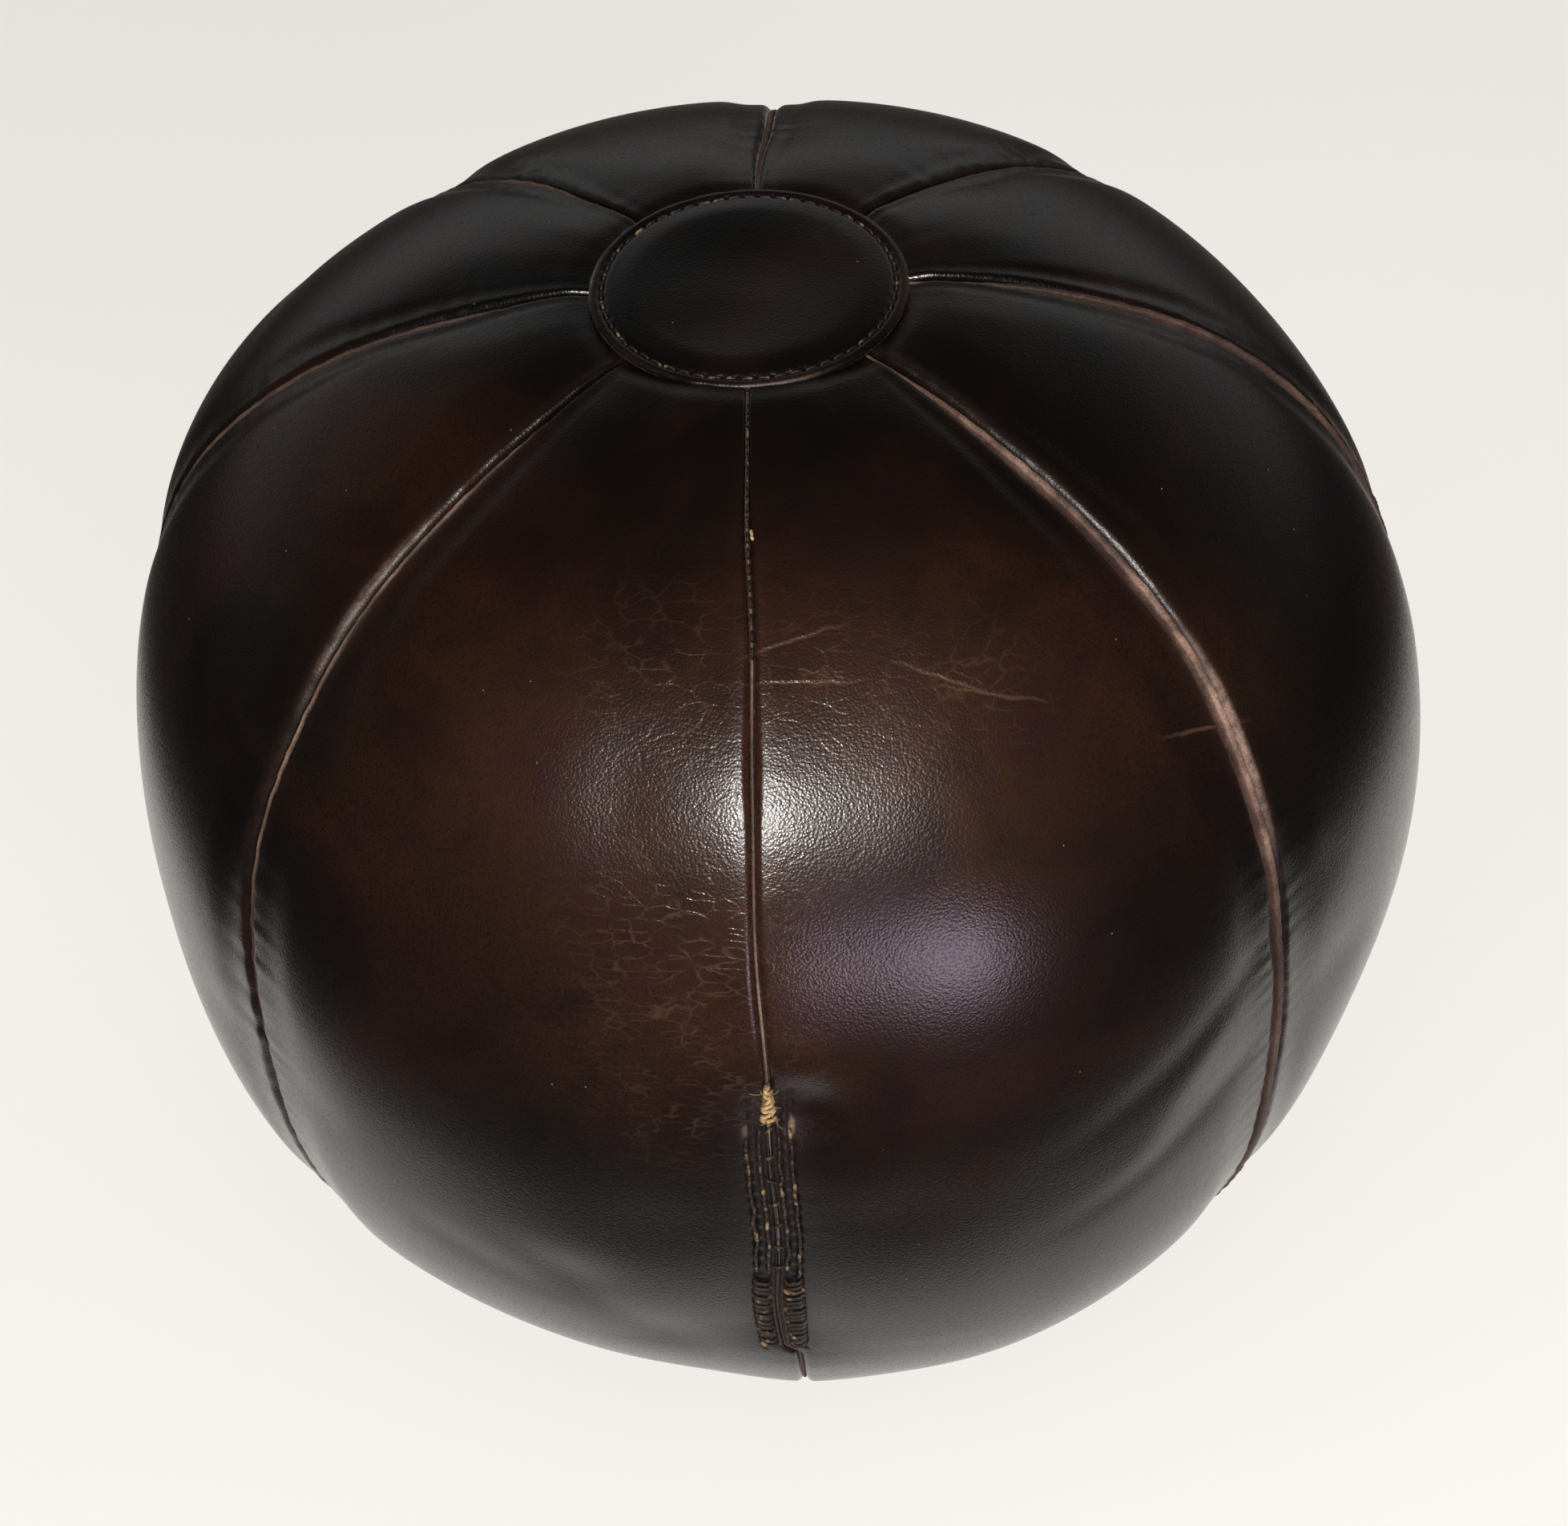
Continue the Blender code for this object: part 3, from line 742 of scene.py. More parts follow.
def thick_sheet(outer, inner):
    """Points and faces of a closed sheet between an outer and an inner grid of the same size."""
    rows, columns = outer.shape[:2]
    number = np.arange(rows * columns).reshape(rows, columns)
    rim = np.concatenate([number[:-1, 0], number[-1, :-1], number[:0:-1, -1], number[0, :0:-1]])
    below = rim + rows * columns
    wall = np.stack([rim, below, np.roll(below, -1), np.roll(rim, -1)], -1)
    faces = [grid_quads(rows, columns), grid_quads(rows, columns, first=rows * columns)[:, ::-1], wall]
    return np.concatenate([outer.reshape(-1, 3), inner.reshape(-1, 3)]), faces


# Creases in the finish: directions of their two ends and half-width
CREASES = (
    ((0.225, -0.640, 0.735), (0.290, -0.645, 0.708), 0.00030),
    ((0.285, -0.650, 0.708), (0.340, -0.643, 0.686), 0.00040),
    ((0.033, -0.628, 0.778), (0.080, -0.614, 0.785), 0.00012),
    ((0.050, -0.665, 0.745), (0.095, -0.662, 0.742), 0.00010),
    ((0.592, -0.590, 0.560), (0.606, -0.570, 0.545), 0.00040),
)

# Where the wax is rubbed thin and brown, partly a painted glow round the highlight, and where the finish
# has crazed: direction, strength, radius
BROWN = (
    # The first, widest patch lies round the soft box's highlight on the front shoulder: painted warm glow
    # over rubbed wax
    ((0.05, -0.82, 0.57), 0.75, 0.060),
    ((-0.38, -0.66, 0.64), 0.65, 0.036),
    ((0.28, -0.68, 0.66), 0.55, 0.040),
    ((-0.12, -0.93, 0.34), 0.45, 0.035),
    ((0.62, -0.52, 0.58), 0.30, 0.030),
    ((-0.52, -0.25, 0.80), 0.35, 0.030),
    ((0.75, 0.50, 0.40), 0.50, 0.060),
    ((-0.60, 0.70, 0.10), 0.45, 0.070),
    ((0.10, 0.90, 0.40), 0.40, 0.060),
)
CRAZED = (
    ((-0.09, -0.87, 0.48), 1.0, 0.024),
    ((-0.12, -0.66, 0.74), 0.7, 0.020),
    ((0.10, -0.68, 0.73), 0.7, 0.018),
    ((-0.07, -0.96, 0.26), 0.6, 0.022),
    ((0.30, -0.64, 0.70), 0.6, 0.014),
    ((0.55, 0.75, 0.35), 0.8, 0.035),
    ((-0.85, 0.10, -0.30), 0.7, 0.040),
)


def patches(points, spots):
    """Sum of bells exp(-(distance / radius)^2) round directions from the ball's middle."""
    towards = points - (0, 0, CENTRE_HEIGHT)
    towards = towards / np.linalg.norm(towards, axis=-1, keepdims=True)
    total = 0 * towards[..., 0]
    for direction, strength, radius in spots:
        away = np.arccos(np.clip(towards @ unit(direction), -1, 1)) * EQUATOR_RADIUS
        total = total + strength * np.exp(-((away / radius) ** 2))
    return np.clip(total, 0, 1)


def leather_finish():
    """Waxed espresso leather: near-black with brown and oxblood clouds, pebble grain, crazing and dust."""
    leather = Finish("espresso_leather")
    mix, maths, noise, ramp = leather.mix, leather.maths, leather.noise, leather.ramp
    cloud = noise(13.0, 3.0, 0.55, 0.7)
    dark = ramp(
        cloud,
        (0.34, (0.0016, 0.0016, 0.0015)),
        (0.50, (0.0034, 0.0021, 0.0017)),
        (0.64, (0.0100, 0.0038, 0.0026)),
        (0.76, (0.0130, 0.0032, 0.0040)),
    )
    brown = ramp(
        noise(24.0, 3.0, 0.6, 0.5),
        (0.35, (0.0230, 0.0075, 0.0050)),
        (0.52, (0.0430, 0.0150, 0.0065)),
        (0.70, (0.0340, 0.0085, 0.0092)),
    )
    # Brown patches: partly rubbed wax, partly a painted warm glow round the soft box's highlight
    rubbed_and_glow = maths("MULTIPLY", leather.attribute("brown"), maths("MULTIPLY_ADD", cloud, 1.2, 0.2))
    colour = mix(rubbed_and_glow, dark, brown)

    pebbles = leather.cells(1500.0)
    grain = noise(2600.0, 1.0, 0.6)
    pits = ramp(pebbles, (0.45, 0.0), (0.75, 0.45))
    colour = mix(pits, colour, (0.0016, 0.0011, 0.0010))

    stretched = leather.vector("MULTIPLY", leather.place, (150.0, 150.0, 420.0))
    waver = leather.noise(70.0, 3.0, 0.6, output="Color")
    stretched = leather.vector("ADD", stretched, leather.vector("MULTIPLY", waver, (1.8, 1.8, 1.8)))
    hairline = ramp(leather.cells(1.0, "DISTANCE_TO_EDGE", stretched), (0.0, 1.0), (0.075, 0.0))
    some = ramp(noise(150.0, 2.0, 0.5), (0.40, 0.0), (0.56, 1.0))
    crazing = maths("MULTIPLY", maths("MULTIPLY", hairline, some), leather.attribute("crazed"))

    middle = leather.vector("SUBTRACT", leather.place, (0.0, 0.0, CENTRE_HEIGHT))
    warp = leather.noise(160.0, 3.0, 0.6, output="Color")
    warp = leather.vector("SUBTRACT", warp, (0.5, 0.5, 0.5))
    warp = leather.vector("MULTIPLY", warp, (0.0028, 0.0028, 0.0028))
    towards = leather.vector("NORMALIZE", leather.vector("ADD", middle, warp))
    crease = 0.0
    for start, stop, half_width in CREASES:
        start, stop = unit(start), unit(stop)
        pole, centre = unit(np.cross(start, stop)), unit(start + stop)
        across = maths("ABSOLUTE", leather.vector("DOT_PRODUCT", towards, tuple(pole)))
        line = ramp(across, (0.0, 1.0), (half_width / EQUATOR_RADIUS, 0.0))
        along = leather.vector("DOT_PRODUCT", towards, tuple(centre))
        ends = ramp(along, (float(centre @ start), 0.0), ((1 + float(centre @ start)) / 2, 1.0))
        crease = maths("MAXIMUM", crease, maths("MULTIPLY", line, ends))
    lines = maths("MAXIMUM", maths("MULTIPLY", crazing, 0.7), crease)
    colour = mix(maths("MULTIPLY", lines, 0.5), colour, (0.110, 0.056, 0.032))

    flake = leather.cells(150.0)
    chance = leather.cells(150.0, output="Color")
    lit = maths("MULTIPLY", maths("LESS_THAN", flake, 0.028), maths("GREATER_THAN", chance, 0.62))
    colour = mix(maths("MULTIPLY", lit, 0.8), colour, (0.220, 0.190, 0.150))

    worn = leather.attribute("worn")
    fray = ramp(noise(260.0, 3.0, 0.75), (0.36, 0.25), (0.62, 1.0))
    strands = ramp(grain, (0.35, 0.55), (0.65, 1.0))
    bare = mix(soft_wear(leather, worn), (0.045, 0.017, 0.008), (0.300, 0.185, 0.135))
    rub = maths("MULTIPLY", maths("MULTIPLY", worn, fray), strands)
    colour = mix(maths("MINIMUM", rub, 1.0), colour, bare)

    shine = maths("MULTIPLY_ADD", cloud, -0.12, 0.28)
    shine = maths("MULTIPLY_ADD", pits, 0.18, shine)
    shine = maths("MULTIPLY_ADD", leather.attribute("dull"), 0.30, maths("MULTIPLY_ADD", worn, 0.45, shine))
    leather.set(Base_Color=colour, Roughness=shine, Specular_IOR_Level=0.42)
    leather.set(Sheen_Weight=0.09, Sheen_Roughness=0.20, Sheen_Tint=(1.0, 0.84, 0.74))
    relief = maths("MULTIPLY_ADD", pebbles, -0.00005, maths("MULTIPLY", grain, 0.00003))
    relief = maths("MULTIPLY_ADD", lines, -0.00008, relief)
    leather.set(Normal=leather.bump(relief, 1.0))
    return leather.material


def soft_wear(leather, worn):
    """Share of bare tan leather in the wear: none at its soft brown border, all on the crest."""
    return leather.ramp(worn, (0.35, 0.0), (0.80, 1.0))


ESPRESSO = leather_finish()


def seam_wear(seam, side, distance, colatitude):
    """How far the dye is rubbed off a roll: most on its shoulder, in stretches along the seam."""
    worn = SEAMS[seam % GORE_COUNT][6 if side > 0 else 7]
    length = skin_length(colatitude)
    stretch = 0.75 + 0.30 * line_waves(length, 0.13, seed=150 + 2 * (seam % GORE_COUNT) + (side > 0))
    stretch = stretch * rubbed_height(colatitude)
    return worn * np.clip(stretch, 0.02, 1.1) * np.exp(-(((distance - 0.0022) / 0.0021) ** 2))


def rubbed_height(colatitude):
    """1 round the shoulder, where floors and hands rub most, and less near the cap and lower down."""
    share = meridian(colatitude)[1] / POLE_REACH
    return 0.15 + 0.85 * soft_step(share, 0.15, 0.75) * (1 - 0.85 * soft_step(share, 0.86, 0.985))


def mouth_scars(side, distance, colatitude):
    """Raw pinkish leather at the top ends of the outer rows of stitches."""
    up = meridian(colatitude)[1]
    spot = ((distance - 0.0056) / 0.0011) ** 2 + ((up - OUTER_ROW_TOP) / 0.0030) ** 2
    return (1.0 if side > 0 else 0.8) * np.exp(-spot)


def grip_dull(distance, colatitude):
    """Where the skin beside the mouth has no polish left: exp(-(distance / 8 mm)^2) along the rows."""
    return mouth_share(colatitude, blend=0.006) * np.exp(-((distance / 0.008) ** 2))


def add_gore(gore):
    """A closed panel between its outer and inner faces, with the wear of both its seams."""
    rows = gore_rows(beside_mouth=gore in (0, GORE_COUNT - 1))
    outer, first, last = gore_face(gore, rows, 0.0)
    inner, _, _ = gore_face(gore, rows, GORE_THICKNESS)
    colatitude = rows[:, None] + 0 * first
    worn = seam_wear(gore, 1, first, colatitude) + seam_wear(gore + 1, -1, last, colatitude)
    dull = 0 * worn
    for beside, side, distance in ((0, 1, first), (GORE_COUNT - 1, -1, last)):
        if gore == beside:
            worn = worn + mouth_scars(side, distance, colatitude)
            dull = grip_dull(distance, colatitude)
    hidden = np.zeros(worn.size)
    points, faces = thick_sheet(outer, inner)
    piece = add_piece(
        f"leather_gore_{gore + 1}",
        points,
        faces,
        ESPRESSO,
        worn=np.concatenate([worn.ravel(), hidden]),
        dull=np.concatenate([dull.ravel(), hidden]),
        brown=patches(points, BROWN),
        crazed=patches(points, CRAZED),
    )
    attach(piece, "root")
    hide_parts(f"gore_{gore + 1}")


for gore in range(GORE_COUNT):
    add_gore(gore)

# ---------------------------------------------------------------------------------------------------
# Welts
# Strips of red-brown leather that stand in the seams with their cut edge up, between the turned edges
# of two gores. Their tops are fibrous, and worn pale where hands and floors reach them.
# ---------------------------------------------------------------------------------------------------
WELT_GAP = 0.00012  # between a welt and the turned edges beside it
WELT_START = colatitude_at_radius(0.0285)  # just clear of the gores' cut ends
WELT_ROUNDING = 0.0006

# Half-width, shift to the counter-clockwise side, depth of the top, and wear, seam by seam
WELTS = (
    (0.00033, 0.00000, 0.0006, 0.55),
    (0.00104, 0.00000, 0.0004, 1.00),
    (0.00100, -0.00010, 0.0006, 0.24),
    (0.00072, 0.00000, 0.0014, 0.20),
    (0.00072, 0.00000, 0.0014, 0.30),
    (0.00062, 0.00000, 0.0012, 0.30),
    (0.00062, 0.00000, 0.0010, 0.22),
    (0.00045, 0.00000, 0.0009, 0.60),
)


def welt_finish():
    """Cut leather edge: red-brown fibres, fading to tan where it is worn."""
    welt = Finish("welt_leather")
    fibres = welt.noise(1500.0, 4.0, 0.7)
    patch = welt.noise(90.0, 3.0, 0.65)
    deep = welt.ramp(fibres, (0.3, (0.0120, 0.0048, 0.0034)), (0.7, (0.0400, 0.0150, 0.0090)))
    pale = welt.ramp(fibres, (0.3, (0.210, 0.105, 0.066)), (0.7, (0.560, 0.370, 0.270)))
    rub = welt.maths("MULTIPLY", welt.attribute("worn"), welt.ramp(patch, (0.36, 0.25), (0.60, 1.0)))
    welt.set(Base_Color=welt.mix(rub, deep, pale), Roughness=0.62, Specular_IOR_Level=0.45)
    welt.set(Normal=welt.bump(fibres, 0.00018))
    return welt.material


WELT_LEATHER = welt_finish()


def add_welt(name, node, seam, rows):
    """A strip whose section is upright with a rounded, fibrous top, swept along its seam."""
    half_width, shift, top, wear = WELTS[seam]
    colatitude = rows[:, None]
    lip, _, share = seam_form(seam, colatitude)
    half = np.minimum(half_width * share, lip - WELT_GAP)
    length = skin_length(colatitude)
    turn = np.linspace(0, math.pi, 9)[None, :]
    across = np.cos(turn)
    round_top = np.minimum(half, WELT_ROUNDING) * (1 - np.sin(turn))
    dip = skin_relief(seam, 1, 0 * colatitude, colatitude)
    ragged = 0.00010 * line_waves(length * 1000 + 3 * across, 2.2, seed=210 + seam)
    crest = top * share + 0.7 * dip - SEAMS[seam][4] + ragged + round_top
    aside = shift * share + half * across
    side_depths = np.linspace(0.35, 1, 3)[None, :] * ALLOWANCE_DEPTH + 0 * half
    sides = [shift * share + turned * half + 0 * side_depths for turned in (1, -1)]
    depth = np.hstack([side_depths[:, ::-1], crest, side_depths])
    points = seam_place(seam, colatitude, np.hstack([sides[0], aside, sides[1]]), depth)
    count, around = points.shape[:2]
    first, last = np.arange(around), np.arange(around) + (count - 1) * around
    tips = points[[0, -1]].mean(axis=1)
    faces = [grid_quads(count, around, closed=True)[:, ::-1], fan(count * around, first[::-1])]
    faces.append(fan(count * around + 1, last))
    bare = wear * (0.70 + 0.40 * line_waves(length, 0.08, seed=250 + seam)) * rubbed_height(colatitude)
    near_cap = np.exp(-(((meridian(colatitude)[0] - CAP_RADIUS) / 0.016) ** 2))
    below_top = depth - crest.min(axis=1, keepdims=True)
    bare = np.clip(bare + 0.2 * near_cap, 0, 1) * np.exp(-(below_top / 0.0015))
    worn = np.concatenate([bare.ravel(), [0, 0]])
    piece = add_piece(name, np.concatenate([points.reshape(-1, 3), tips]), faces, WELT_LEATHER, worn=worn)
    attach(piece, "root")
    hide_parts(node)


def rows_between(start, stop, spacing=0.0012):
    """Colatitudes at an even spacing along the skin between two others."""
    length = skin_length(stop) - skin_length(start)
    steps = np.linspace(skin_length(start), skin_length(stop), max(3, round(length / spacing)))
    return colatitude_at_length(steps)


for seam in range(GORE_COUNT):
    runs = [("", WELT_START, math.pi - WELT_START)]
    if seam == 0:
        runs = [
            ("_upper", WELT_START, float(colatitude_at_height(MOUTH_TOP + 0.001))),
            ("_lower", float(colatitude_at_height(MOUTH_BARS_TOP)), math.pi - WELT_START),
        ]
    for part, start, stop in runs:
        number = f"{seam + 1}{part}"
        add_welt(f"leather_welt_{number}", f"welt_{number}", seam, rows_between(start, stop))

# ---------------------------------------------------------------------------------------------------
# Threads
# Linen thread, waxed nearly black, in short saddle stitches: two rows down each lip of the mouth, bars
# across its foot, and a few that show in the seam above it. Raw tan thread ties off the mouth.
# ---------------------------------------------------------------------------------------------------
MOUTH_THREAD = 0.00052  # radius
HOLE_GAP = 0.00045  # between the ends of two stitches that share a hole
WRAPS = 8  # of the knot


def waxed_thread_finish():
    """Waxed linen: dark with a low gloss, and tan fibres where the wax has cracked off."""
    thread = Finish("waxed_thread")
    patch = thread.noise(330.0, 3.0, 0.6)
    fibres = thread.noise(2600.0, 3.0, 0.7)
    dark = thread.ramp(fibres, (0.3, (0.006, 0.004, 0.003)), (0.7, (0.022, 0.013, 0.009)))
    share = thread.ramp(patch, (0.56, 0.0), (0.68, 0.75))
    thread.set(Base_Color=thread.mix(share, dark, (0.300, 0.190, 0.085)), Roughness=0.48)
    thread.set(Specular_IOR_Level=0.30, Normal=thread.bump(fibres, 0.00012))
    return thread.material


def raw_thread_finish():
    """Unwaxed linen: tan, dry and fibrous, with darker soiled stretches."""
    thread = Finish("raw_thread")
    fibres = thread.noise(2400.0, 4.0, 0.75)
    soiled = thread.ramp(thread.noise(420.0, 3.0, 0.6), (0.45, 0.0), (0.70, 0.8))
    clean = thread.ramp(fibres, (0.3, (0.230, 0.130, 0.050)), (0.7, (0.640, 0.430, 0.200)))
    thread.set(Base_Color=thread.mix(soiled, clean, (0.06, 0.03, 0.015)))
    thread.set(Roughness=0.55, Normal=thread.bump(fibres, 0.00015))
    return thread.material


WAXED = waxed_thread_finish()
RAW = raw_thread_finish()


def stitch_tubes(starts, ends, normals, radius, rise, dive, segments=9, sides=7):
    """Points and faces of a stitch from each start to each end, all stitches at once.

    The middle line is start + (end - start) t, lifted by rise x (1 - (2t-1)^4) and sunk at both ends by
    dive x (2t-1)^6; a ring of the thread's radius goes round it, and a fan closes each end.
    """
    share = np.linspace(0, 1, segments)
    sway = 2 * share - 1
    lift = (rise * (1 - sway**4) - dive * sway**6)[None, :, None]
    line = starts[:, None] + (ends - starts)[:, None] * share[None, :, None] + normals[:, None] * lift
    along = np.gradient(line, axis=1)
    along /= np.linalg.norm(along, axis=-1, keepdims=True)
    beside = np.cross(normals[:, None], along)
    beside /= np.linalg.norm(beside, axis=-1, keepdims=True)
    over = np.cross(along, beside)
    turn = 2 * np.pi * np.arange(sides) / sides
    ring = np.cos(turn)[:, None] * beside[:, :, None] + np.sin(turn)[:, None] * over[:, :, None]
    body = (line[:, :, None] + radius * ring).reshape(len(starts), -1, 3)
    points = np.concatenate([body, line[:, :1], line[:, -1:]], axis=1)
    size = segments * sides + 2
    first, last = np.arange(sides), np.arange(sides) + (segments - 1) * sides
    single = [grid_quads(segments, sides, closed=True), fan(size - 2, first), fan(size - 1, last[::-1])]
    single = [group[:, ::-1] for group in single]
    offsets = size * np.arange(len(starts))[:, None, None]
    return points.reshape(-1, 3), [(group[None] + offsets).reshape(-1, group.shape[1]) for group in single]


def add_thread(name, stitches, finish, node=None):
    """One object from one or more groups of stitches."""
    points, faces, count = [], [], 0
    for group_points, group_faces in stitches:
        points.append(group_points)
        faces += [group + count for group in group_faces]
        count += len(group_points)
    piece = add_piece(name, np.concatenate(points), faces, finish)
    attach(piece, "root")
    if node:
        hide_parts(node)


def skin_beside_mouth(side, aside, colatitude, lift=0.0):
    """Points and normals on the finished skin beside the mouth's seam."""
    colatitude = np.asarray(colatitude, float)
    depth = skin_relief(0, side, aside + 0 * colatitude, colatitude) - lift
    points = seam_place(0, colatitude, side * aside, depth)
    return points, form_normal(colatitude, np.arctan2(points[:, 1], points[:, 0]))


def mouth_row(side, row, place):
    """Saddle stitches down one lip, each from one hole to the next."""
    start = skin_length(colatitude_at_height(OUTER_ROW_TOP if row else INNER_ROW_TOP))
    stop = skin_length(colatitude_at_height(MOUTH_BARS_TOP))
    phase = row_phase(side, row) / (2 * np.pi)
    first_hole = math.ceil(start / MOUTH_PITCH + phase)
    last_hole = math.floor(stop / MOUTH_PITCH + phase)
    holes = (np.arange(first_hole, last_hole + 1) - phase) * MOUTH_PITCH
    aside = place + 0.00022 * line_waves(holes, 0.009, seed=310 + row + 2 * (side > 0))
    tops, bottoms = colatitude_at_length(holes[:-1] + HOLE_GAP), colatitude_at_length(holes[1:] - HOLE_GAP)
    top, normal = skin_beside_mouth(side, aside[:-1], tops, 0.0006)
    bottom, _ = skin_beside_mouth(side, aside[1:], bottoms, 0.0006)
    return stitch_tubes(top, bottom, normal, MOUTH_THREAD, 0.00035, 0.0010)


def mouth_bars(side, count=15, pitch=0.0023):
    """Short bars across one lip at the foot of the mouth, slanted and close together."""
    start = skin_length(colatitude_at_height(MOUTH_BARS_TOP)) + pitch / 2
    number = np.arange(count)
    length = start + pitch * number + 0.00025 * line_waves(number, 1.7, seed=330 + side)
    reach = OUTER_ROW + 0.0007 + 0.0010 * np.sin(np.linspace(0.2, math.pi, count)) * (side > 0)
    slant = 0.0006
    inner_ends, outer_ends = colatitude_at_length(length + slant), colatitude_at_length(length - slant)
    inner, normal = skin_beside_mouth(side, 0.0016 + 0 * length, inner_ends, 0.0004)
    outer, _ = skin_beside_mouth(side, reach, outer_ends, 0.0004)
    return stitch_tubes(inner, outer, normal, MOUTH_THREAD, 0.0006, 0.0011, segments=11)


for side, side_name in ((-1, "left"), (1, "right")):
    for row, (row_name, place) in enumerate((("inner", INNER_ROW), ("outer", OUTER_ROW))):
        stitches = [mouth_row(side, row, place)]
        if row:
            stitches.append(mouth_bars(side))
        add_thread(
            f"mouth_stitches_{side_name}_{row_name}",
            stitches,
            WAXED,
            f"mouth_thread_{side_name}_{row_name}",
        )


def crossings(heights, widths, tilt, lift, radius, rise, seed):
    """Threads across the slit at heights over the equator, each of its own width."""
    draw = np.random.default_rng(seed)
    lengths = skin_length(colatitude_at_height(heights))
    slant = tilt * draw.uniform(-1, 1, len(lengths))
    left, normal = skin_beside_mouth(-1, widths, colatitude_at_length(lengths + slant), lift)
    right, _ = skin_beside_mouth(1, widths, colatitude_at_length(lengths - slant), lift)
    return stitch_tubes(left, right, normal, radius, rise, 0.0009, segments=11)


lacing_heights = np.arange(OUTER_ROW_TOP, MOUTH_BARS_TOP, -0.0088)
lacing = crossings(lacing_heights, 0.0014 + 0 * lacing_heights, 0.0008, 0.0001, 0.0004, 0.0002, 41)
add_thread("mouth_lacing", [lacing], WAXED, "closing_thread")

wrap_share = np.linspace(0, 1, WRAPS)
wrap_heights = MOUTH_TOP + 0.0018 - 0.0120 * wrap_share
wrap_widths = 0.0003 + 0.0015 * wrap_share**0.8
wraps = crossings(wrap_heights, wrap_widths, 0.0009, 0.0003, 0.00048, 0.0008, 43)


def loose_fibres(count=46):
    """Fine ends that stand out of the raw knot in all directions."""
    draw = np.random.default_rng(47)
    heights = MOUTH_TOP + draw.uniform(-0.011, 0.002, count)
    aside = draw.uniform(0.0002, 0.0015, count)
    side = draw.choice((-1, 1), count)
    right, normal = skin_beside_mouth(1, aside, colatitude_at_height(heights), 0.0009)
    left, _ = skin_beside_mouth(-1, aside, colatitude_at_height(heights), 0.0009)
    start = np.where(side[:, None] > 0, right, left)
    end = start + draw.normal(0, 0.0011, (count, 3)) + normal * draw.uniform(0.0002, 0.0012, (count, 1))
    return stitch_tubes(start, end, normal, 0.00006, 0.0003, 0.0, segments=5, sides=4)


add_thread("mouth_knot", [wraps, loose_fibres()], RAW, "closing_knot")


def seam_stitches():
    """Stitches that show in the closed seam above the mouth."""
    holes = skin_length(colatitude_at_radius(CAP_RADIUS + 0.004)) + 0.0041 * np.arange(17)
    side = np.ones(len(holes))
    top, normal = skin_beside_mouth(1, 0.0001 * side, colatitude_at_length(holes), 0.0002)
    bottom, _ = skin_beside_mouth(1, 0.0001 * side, colatitude_at_length(holes + 0.0024), 0.0002)
    return stitch_tubes(top, bottom, normal, 0.00033, 0.0002, 0.0008)


def broken_stitch():
    """Two short raw ends that stand out of the seam where a stitch has broken."""
    starts = skin_length(colatitude_at_radius(0.079)) + np.array([0.0, 0.0017])
    stops = starts + np.array([0.0012, 0.0005])
    top, normal = skin_beside_mouth(1, 0.0010 + 0 * starts, colatitude_at_length(starts), 0.0002)
    bottom, _ = skin_beside_mouth(1, np.array([0.0011, 0.0013]), colatitude_at_length(stops), 0.0002)
    return stitch_tubes(top, bottom, normal, 0.00038, 0.0002, 0.0002)


add_thread("seam_stitches_1_upper", [seam_stitches()], WAXED)
add_thread("thread_end", [broken_stitch()], RAW)

# ---------------------------------------------------------------------------------------------------
# Caps
# A round of the same leather over the points of the gores at each pole, skived thin at its rim and
# sewn down by a ring of small stitches that sinks it into a groove.
# ---------------------------------------------------------------------------------------------------
CAP_RIM_THICKNESS = 0.0015
CAP_RIM_ROUND = 0.0009
CAP_MIDDLE = 0.0012  # radius of the small fan that closes each face
CAP_STITCH_RADIUS = CAP_RADIUS - 0.0031
CAP_STITCHES = 58
CAP_COLUMNS = CAP_STITCHES * 6


def cap_height(radius, angle, upper):
    """Height of a cap's outer face over the equator.

    It is the skin's form, plus a thickness that thins towards the rim, less the stitched groove, plus
    the bead outside it and faint wrinkles. The lower cap is pressed level by the ball's own weight.
    """
    form = skin_height(radius) + pole_fill(radius)
    if not upper:
        form = POLE_REACH + (form - POLE_REACH) * soft_step(radius, 0.020, 0.038)
    thickness = CAP_THICKNESS + (CAP_RIM_THICKNESS - CAP_THICKNESS) * soft_step(radius, 0.028, 0.037)
    beat = 0.5 + 0.5 * np.cos(CAP_STITCHES * angle)
    away = np.abs(radius - CAP_STITCH_RADIUS)
    groove = np.exp(-((away / 0.0009) ** 2)) * (0.00045 + 0.00030 * beat)
    bead = 0.00028 * np.exp(-(((radius - CAP_RADIUS + 0.0014) / 0.0009) ** 2))
    points = np.stack([radius * np.cos(angle), radius * np.sin(angle), 0 * radius + 0 * angle], -1)
    wrinkles = 0.00016 * plane_waves(points, 0.030, seed=17 + upper)
    wrinkles = wrinkles * soft_step(CAP_RADIUS - radius, 0.003, 0.012)
    if not upper:
        wrinkles = -np.abs(wrinkles)
    return form + CAP_LIFT + thickness - groove + bead + wrinkles


